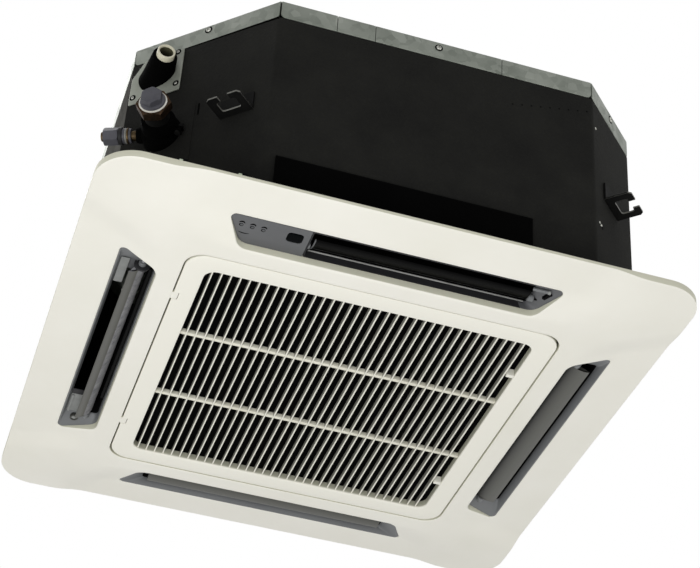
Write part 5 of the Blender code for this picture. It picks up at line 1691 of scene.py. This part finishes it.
    def build(self, nodes: dict) -> None:
        """Make the casing's pieces and put them in the frame."""
        dress(self.lid(), "casing", ZINC, "galvanised", "top_plate")
        dress(self.jacket(), "casing", FOAM, "foam_charcoal", "pipe_corner_wall", "wall_front",
              "corner_wall_front_right", "wall_right", "corner_wall_back_right", "wall_back",
              "corner_wall_back_left")
        wall = rounded_copy(nodes["wall_left"], "wall_left_sheet", 0.8 * MM)
        dress(wall, "casing", ZINC_DULL, "galvanised", "wall_left")
        pad = rounded_copy(nodes["front_foam_pad"], "front_foam_pad_cut", 0.8 * MM)
        dress(pad, "casing", FOAM_BLACK, "foam_charcoal", "front_foam_pad")
        x, z = self.front_screw
        heads = [(Vector((x, -self.half, z)), Facing.FRONT.heading)] + self.seats(self.corner_screws)
        recesses = Piece("lid_screw_recesses", DARK_MARK, "window_black")
        for seat, heading in heads:
            recesses.turned(((5.0, -0.5), (5.0, 0.25)), axis_place(seat, heading), 32)
        recesses.done(32.0)
        Screws(3.4 * MM).build("lid_screws", heads)
        Screws(1.7 * MM, 1.2 * MM).build("wall_screws", self.seats(self.wall_screws))
        # Black discs of painted shade in a hole and in small dents in the foam
        dents = Piece("wall_dents", FOAM_BLACK, "foam_charcoal")
        for seat, heading in self.seats([self.wall_hole]):
            dents.turned(((2.0, -0.5), (2.0, 0.2)), axis_place(seat, heading), 24)
        (first_x, first_z), (last_x, last_z) = self.dent_row
        for index in range(self.dent_count):
            share = index / (self.dent_count - 1)
            seat = Vector(((first_x + (last_x - first_x) * share) * MM, -self.half,
                           (first_z + (last_z - first_z) * share) * MM))
            dents.turned(((1.1, -0.5), (1.1, 0.12)), axis_place(seat, Facing.FRONT.heading), 16)
        dents.done(32.0)


@dataclass
class Brackets:
    """Four hanger brackets of folded black steel, with a painted highlight where the sheet was sheared."""

    sheared: tuple = (165.3 * MM, 168.1 * MM)

    def build(self, nodes: dict) -> None:
        """Make the brackets and put them in the frame."""
        low, high = self.sheared
        for corner in ("pipe", "front_right", "back_right", "back_left"):
            piece = rounded_copy(nodes["bracket_" + corner], "bracket_" + corner + "_folded", 0.35 * MM)
            # Side faces in the band of the cut edges get a painted highlight
            two_finishes(piece, BLACK_PAINT, SHEARED_EDGE_HIGHLIGHT,
                         lambda face: low < face.center.z < high and abs(face.normal.z) < 0.6)
            dress(piece, "casing", BLACK_PAINT, "bracket_steel", "bracket_" + corner)


@dataclass
class PipeCorner:
    """Drain outlet, the two water unions with their clamp, and the cover plate of the pipe corner.

    Profiles are rows of radius and height in millimetres, with heights from the pipe's end outwards.
    """

    middle: tuple = (-240.75, -240.75, 0)
    drain_end: tuple = (-285.7, -244.9, 270.8)
    sleeve: tuple = ((21, -60), (18.4, -42), (16.6, -24), (15.0, -9.4), (14.2, -8.2), (11.1, -8.0),
                     (11.1, -60))
    socket: tuple = ((10.8, -50), (10.8, -0.6), (10.6, -0.2), (10.2, 0.0), (9.0, 0.0), (8.6, -0.2),
                     (8.4, -0.6), (8.4, -44), (0.3, -45), (0.3, -50))
    # Thin liner of painted shade down the bore
    film: tuple = ((8.35, -2.5), (8.35, -43), (8.1, -43), (8.1, -2.8))
    flange_seats: tuple = ((-36.3, 300.9), (-33.4, 248.2), (-93.9, 247.4))
    union_end: tuple = (-299.3, -273.6, 170)
    union_heading: tuple = (-0.40, -0.917, 0.0)
    insulation: tuple = ((24, -105), (24, -58), (21, -55), (20, -50), (20.8, -45), (19.5, -40.5), (15, -38.4),
                         (12, -38))
    union_body: tuple = ((14.6, -44), (14.6, -29), (16.6, -26.4), (16.6, -22.6), (15.2, -22.0), (12.2, -21.6))
    cap_skirt: tuple = ((12.0, -10.8), (14.9, -10.8), (14.9, -9.0), (14.4, -8.0), (12.6, -7.0), (10.0, -6.6))
    washer: tuple = ((15.2, -12.2), (16.5, -11.9), (16.5, -10.9), (14.8, -10.5))
    purge_end: tuple = (-338.5, -185, 168)
    purge_heading: tuple = (-0.917, 0.398, 0.0)
    purge_pieces: tuple = (
        ("brass_pipe", BRASS, "brass", ("purge_union_stub",),
         (((6.0, -46), (6.0, -36)), ((9.2, -33.4), (9.6, -33), (9.6, -31.6), (9.2, -31.2)),
          ((6.0, -5), (6.0, -1.4), (5.2, -0.2), (2.6, 0), (2.4, -3)))),
        ("black_collar", BLACK_ABS, "black_plastic", ("purge_union_nut",),
         (((9.8, -26), (10.6, -25.4), (10.6, -21.8), (9.8, -21.2)),)),
        ("insulation", FOAM_BLACK, "foam_charcoal", (), (((9.0, -60), (9.6, -46), (8.6, -42.6)),)),
        ("pale_ring", GREY_RING, "socket_white", (), (((8.8, -31), (9.2, -30.7), (9.2, -29.3), (8.8, -29)),)),
        ("grey_rings", CAP_PLASTIC, "cap_grey", (),
         (((9.0, -29), (9.0, -26)), ((8.4, -36.6), (8.8, -36.2), (8.8, -33.8), (8.4, -33.4)))))
    clamp_side: tuple = (1.0, -0.1, -0.35)
    clamp_band: tuple = ((20.2, -54), (21, -53.6), (21, -46.4), (20.2, -46))
    clamp_ears: tuple = (-3.2, 1.6)
    clamp_bolt: tuple = (26, 0, -50)
    # Black strip of painted shadow under the rim's edge
    rim_gap: tuple = ((-45, 305.3), (101.5, 302.8), (101.5, 306.0), (-45, 306.0))

    @property
    def wall(self) -> Matrix:
        """Matrix from the corner wall's own axes, along, up and outwards, to the unit."""
        run, up = Vector((1, -1, 0)).normalized(), Vector((0, 0, 1))
        turn = Matrix((run, up, run.cross(up))).transposed().to_4x4()
        return Matrix.Translation(*mm([self.middle])) @ turn

    @property
    def union(self) -> Matrix:
        """Matrix whose Z axis is the large union's."""
        return axis_place(*mm([self.union_end]), self.union_heading)

    def drain(self, nodes: dict) -> None:
        """Flange with its screws, ivory socket, black sleeve and a liner of painted shade in the bore."""
        flange = rounded_copy(nodes["drain_flange"], "drain_flange_moulding", 1.2 * MM)
        dress(flange, "casing", FLANGE_PLASTIC, "flange_grey", "drain_flange")
        place = axis_place(*mm([self.drain_end]), (0, -1, 0))
        sleeve = Piece("drain_sleeve_rubber", FOAM_BLACK, "black_plastic", "drain_sleeve")
        sleeve.turned(self.sleeve, place, 64, ring=True).done(40.0)
        socket = Piece("drain_socket_moulding", SOCKET_PLASTIC, "socket_white", "drain_socket")
        socket.turned(self.socket, place, 64, ring=True).done(40.0)
        # Olive painted shade down the bore
        film = Piece("drain_bore_film", BORE_SHADE, "socket_white")
        film.turned(self.film, place, ring=True).done(40.0)
        heading = Facing.PIPE.heading
        recesses = Piece("flange_screw_recesses", DARK_MARK, "window_black")
        seats = []
        for along, up in mm(self.flange_seats):
            recess = axis_place(self.wall @ Vector((along, up, 2.4 * MM)), heading)
            recesses.turned(((4.3, 0.0), (4.3, 0.6)), recess, 28)
            seats.append((self.wall @ Vector((along, up, 2.9 * MM)), heading))
        recesses.done(32.0)
        Screws(2.1 * MM, 1.2 * MM).build("flange_screws", seats)

    def water_union(self) -> None:
        """Large union: insulated stub, bronze nut, dark body, grey cap and white washer."""
        stub = Piece("water_union_insulation", FOAM_BLACK, "foam_charcoal", "water_union_stub")
        stub.turned(self.insulation, self.union).done(40.0)
        nut = Piece("water_union_bronze_nut", BRONZE, "brass", "water_union_nut")
        nut.hexagon(self.union, 21.0, -23.4, -12.2, 2.2).done(25.0)
        Piece("water_union_body", BLACK_PAINT, "brass").turned(self.union_body, self.union).done(40.0)
        cap = Piece("water_union_cover", CAP_PLASTIC, "cap_grey", "water_union_cap")
        cap.hexagon(self.union @ Matrix.Rotation(math.radians(30), 4, "Z"), 13.2, -8.4, 0.6, 1.6)
        cap.turned(self.cap_skirt, self.union).done()
        Piece("water_union_washer", WHITE_RING, "socket_white").turned(self.washer, self.union).done()

    def purge_union(self) -> None:
        """Small union on the side of the large one: brass tip, grey nut, black collar and bright rings."""
        place = axis_place(*mm([self.purge_end]), self.purge_heading)
        for name, finish, slot, replaced, profiles in self.purge_pieces:
            piece = Piece("purge_union_" + name, finish, slot, *replaced)
            for profile in profiles:
                piece.turned(profile, place, 40)
            piece.done()
        nut = Piece("purge_union_cover", CAP_PLASTIC, "cap_grey", "purge_union_cap")
        nut.hexagon(place, 10.8, -20.8, -3.4, 1.2).done()

    def clamp(self) -> None:
        """Hose clamp on the insulation: a black band with two ears, a bolt and its nut."""
        side = self.union.to_3x3().inverted() @ Vector(self.clamp_side).normalized()
        ears = self.union @ Matrix.Rotation(math.atan2(side.y, side.x), 4, "Z")
        band = Piece("pipe_clamp_band", FOAM_BLACK, "bracket_steel").turned(self.clamp_band, self.union, 64)
        for shift in self.clamp_ears:
            band.box((20.4, shift, -54), (30, shift + 1.6, -46), ears)
        band.rounded(0.4, 60.0).done()
        axis = ears @ Matrix.Translation(*mm([self.clamp_bolt])) @ Matrix.Rotation(math.radians(90), 4, "X")
        bolt = Piece("pipe_clamp_bolt", BLACK_PAINT, "bracket_steel")
        bolt.hexagon(axis, 3.8, 3.4, 6.6, 0.6).hexagon(axis, 3.8, -6.4, -3.4, 0.6)
        bolt.turned(((1.9, -9), (1.9, 7.4)), axis, 20).done()

    def cover(self) -> None:
        """Foam-covered plate behind the unions, the service slit beside it, and a black strip of painted
        shadow under the rim.
        """
        plate = Piece("pipe_corner_cover", FOAM, "foam_charcoal")
        plate.box((-60, 24, -0.5), (-1.4, 206.4, 0.9), self.wall).rounded(0.5, 60.0).done()
        slit = Piece("service_slit", FOAM_BLACK, "foam_charcoal")
        slit.box((1.8, 186, -0.5), (4.2, 204, 0.12), self.wall).done()
        # Black strip of painted shadow under the rim
        Piece("rim_gap", FOAM_BLACK, "foam_charcoal").prism(self.rim_gap, (-0.3, 0.3), self.wall).done()

    def build(self, nodes: dict) -> None:
        """Make the pipe corner's pieces and put them in the frame."""
        self.drain(nodes)
        self.water_union()
        self.purge_union()
        self.clamp()
        self.cover()


@dataclass
class FanRoom:
    """What shows through the openings: pan quarters, bell mouth, fan wheel and motor."""

    def build(self, nodes: dict) -> None:
        """Make the inner pieces and put them in the frame."""
        for side in Side:
            name = "drain_pan_" + side.word
            dress(rounded_copy(nodes[name], name + "_foam"), "casing", PAN_FOAM, "pan_foam", name)
        for name, new_name, finish, slot in (
                ("bell_mouth", "bell_mouth_moulding", BLACK_ABS, "black_plastic"),
                ("fan_wheel", "fan_wheel_moulding", BLACK_ABS, "black_plastic"),
                ("fan_motor", "fan_motor_housing", BLACK_PAINT, "bracket_steel")):
            dress(rounded_copy(nodes[name], new_name, sharp_deg=38.0), "casing", finish, slot, name)


@dataclass(frozen=True)
class Lamp:
    """Soft square lamp.

    Attributes:
        name: its name.
        place: where it stands.
        target: what it looks at.
        size: length of a side.
        power: in watts.
    """

    name: str
    place: tuple
    target: tuple
    size: float
    power: float

    def build(self) -> None:
        """Add the lamp to the scene."""
        data = bpy.data.lights.new(self.name, "AREA")
        data.shape = "SQUARE"
        data.size = self.size
        data.energy = self.power
        piece = bpy.data.objects.new(self.name, data)
        piece.location = self.place
        heading = Vector(self.target) - Vector(self.place)
        piece.rotation_euler = heading.to_track_quat("-Z", "Y").to_euler()
        bpy.context.scene.collection.objects.link(piece)


@dataclass
class Studio:
    """Camera, lamps, white surroundings and the floor."""

    eye: tuple = (-0.49242, -1.90477, -1.32903)
    right: tuple = (0.95210, -0.30129, 0.05214)
    up: tuple = (-0.22339, -0.56895, 0.79145)
    back: tuple = (-0.20879, -0.76519, -0.60900)
    lens: float = 99.55
    centre_px: tuple = (352.90, 284.23)
    floor: float = -4.2
    soft: float = 0.42
    floor_glow: float = 0.8
    lamps: tuple = (Lamp("key_below_left", (-0.95, -1.28, -1.72), (-0.05, -0.1, 0.05), 1.2, 29.4),
                    Lamp("fill_right", (2.2, -1.2, -0.5), (0.0, 0.0, 0.1), 1.6, 12.5),
                    Lamp("top_back", (-1.2, 1.6, 2.6), (0.0, 0.0, 0.2), 2.2, 45.0))

    def camera(self) -> None:
        """Set the camera at the photograph's place and angle."""
        data = bpy.data.cameras.new("camera")
        data.lens = self.lens
        data.sensor_width = 36.0
        data.sensor_fit = "HORIZONTAL"
        data.shift_x = (PHOTO_SIZE[0] / 2 - self.centre_px[0]) / PHOTO_SIZE[0]
        data.shift_y = (self.centre_px[1] - PHOTO_SIZE[1] / 2) / PHOTO_SIZE[0]
        data.clip_end = 100.0
        eye = bpy.data.objects.new("camera", data)
        axes = Matrix((self.right, self.up, self.back)).transposed()
        turn = axes.to_quaternion().normalized()
        eye.matrix_world = Matrix.Translation(self.eye) @ turn.to_matrix().to_4x4()
        bpy.context.scene.collection.objects.link(eye)
        bpy.context.scene.camera = eye

    def seen_white(self, tree: bpy.types.NodeTree) -> bpy.types.NodeSocket:
        """1 for rays from the camera, through glass or off a mirror, else 0."""
        path = add_node(tree, "ShaderNodeLightPath")
        direct = add_node(tree, "ShaderNodeMath", {"operation": "MAXIMUM"},
                          {0: path.outputs["Is Camera Ray"], 1: path.outputs["Is Transmission Ray"]})
        every = add_node(tree, "ShaderNodeMath", {"operation": "MAXIMUM"},
                         {0: direct.outputs[0], 1: path.outputs["Is Glossy Ray"]})
        return every.outputs[0]

    def world(self) -> None:
        """White for what the camera and mirrors see, plain soft light for the rest."""
        world = bpy.data.worlds.new("surroundings")
        bpy.context.scene.world = world
        world.use_nodes = True
        tree = world.node_tree
        strength = add_node(tree, "ShaderNodeMapRange", None,
                            {"Value": self.seen_white(tree), "To Min": self.soft, "To Max": 1.0})
        background = tree.nodes["Background"]
        background.inputs["Color"].default_value = (1.0, 1.0, 1.0, 1.0)
        tree.links.new(strength.outputs["Result"], background.inputs["Strength"])

    def ground(self) -> None:
        """Lay the plain pale floor, white to the camera and with the object's shadow."""
        bm = bmesh.new()
        block(bm, (-14.0, -14.0, self.floor - 0.02), (14.0, 14.0, self.floor))
        floor = smooth_object("studio_floor", bm)
        material = bpy.data.materials.new("pale_studio_floor")
        material.use_nodes = True
        tree = material.node_tree
        shader = tree.nodes["Principled BSDF"]
        shader.inputs["Base Color"].default_value = linear("F2F2F0")
        shader.inputs["Roughness"].default_value = 0.9
        glow = add_node(tree, "ShaderNodeEmission", None,
                        {"Color": (1.0, 1.0, 1.0, 1.0), "Strength": self.floor_glow})
        both = add_node(tree, "ShaderNodeAddShader", None, {0: shader.outputs[0], 1: glow.outputs[0]})
        mix = add_node(tree, "ShaderNodeMixShader", None,
                       {0: self.seen_white(tree), 1: shader.outputs[0], 2: both.outputs[0]})
        tree.links.new(mix.outputs[0], tree.nodes["Material Output"].inputs["Surface"])
        floor.data.materials.append(material)

    def build(self) -> None:
        """Set camera, lamps, surroundings and floor."""
        self.camera()
        for lamp in self.lamps:
            lamp.build()
        self.world()
        self.ground()
        bpy.context.scene.view_settings.view_transform = "Standard"


def main() -> None:
    """Dress the frame."""
    logging.basicConfig(level=logging.INFO, format="%(name)s: %(message)s")
    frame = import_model()
    nodes = frame["nodes"]
    shape, slot = PanelShape(), SlotPlan()
    PanelMoulding(shape, slot).build()
    Grille().build()
    AirFilter().build()
    for side in Side:
        AirSlot(side, slot).build()
    IndicatorPlate().build(nodes)
    Casing().build(nodes)
    Brackets().build(nodes)
    PipeCorner().build(nodes)
    FanRoom().build(nodes)
    Studio().build()


if __name__ == "__main__":
    main()
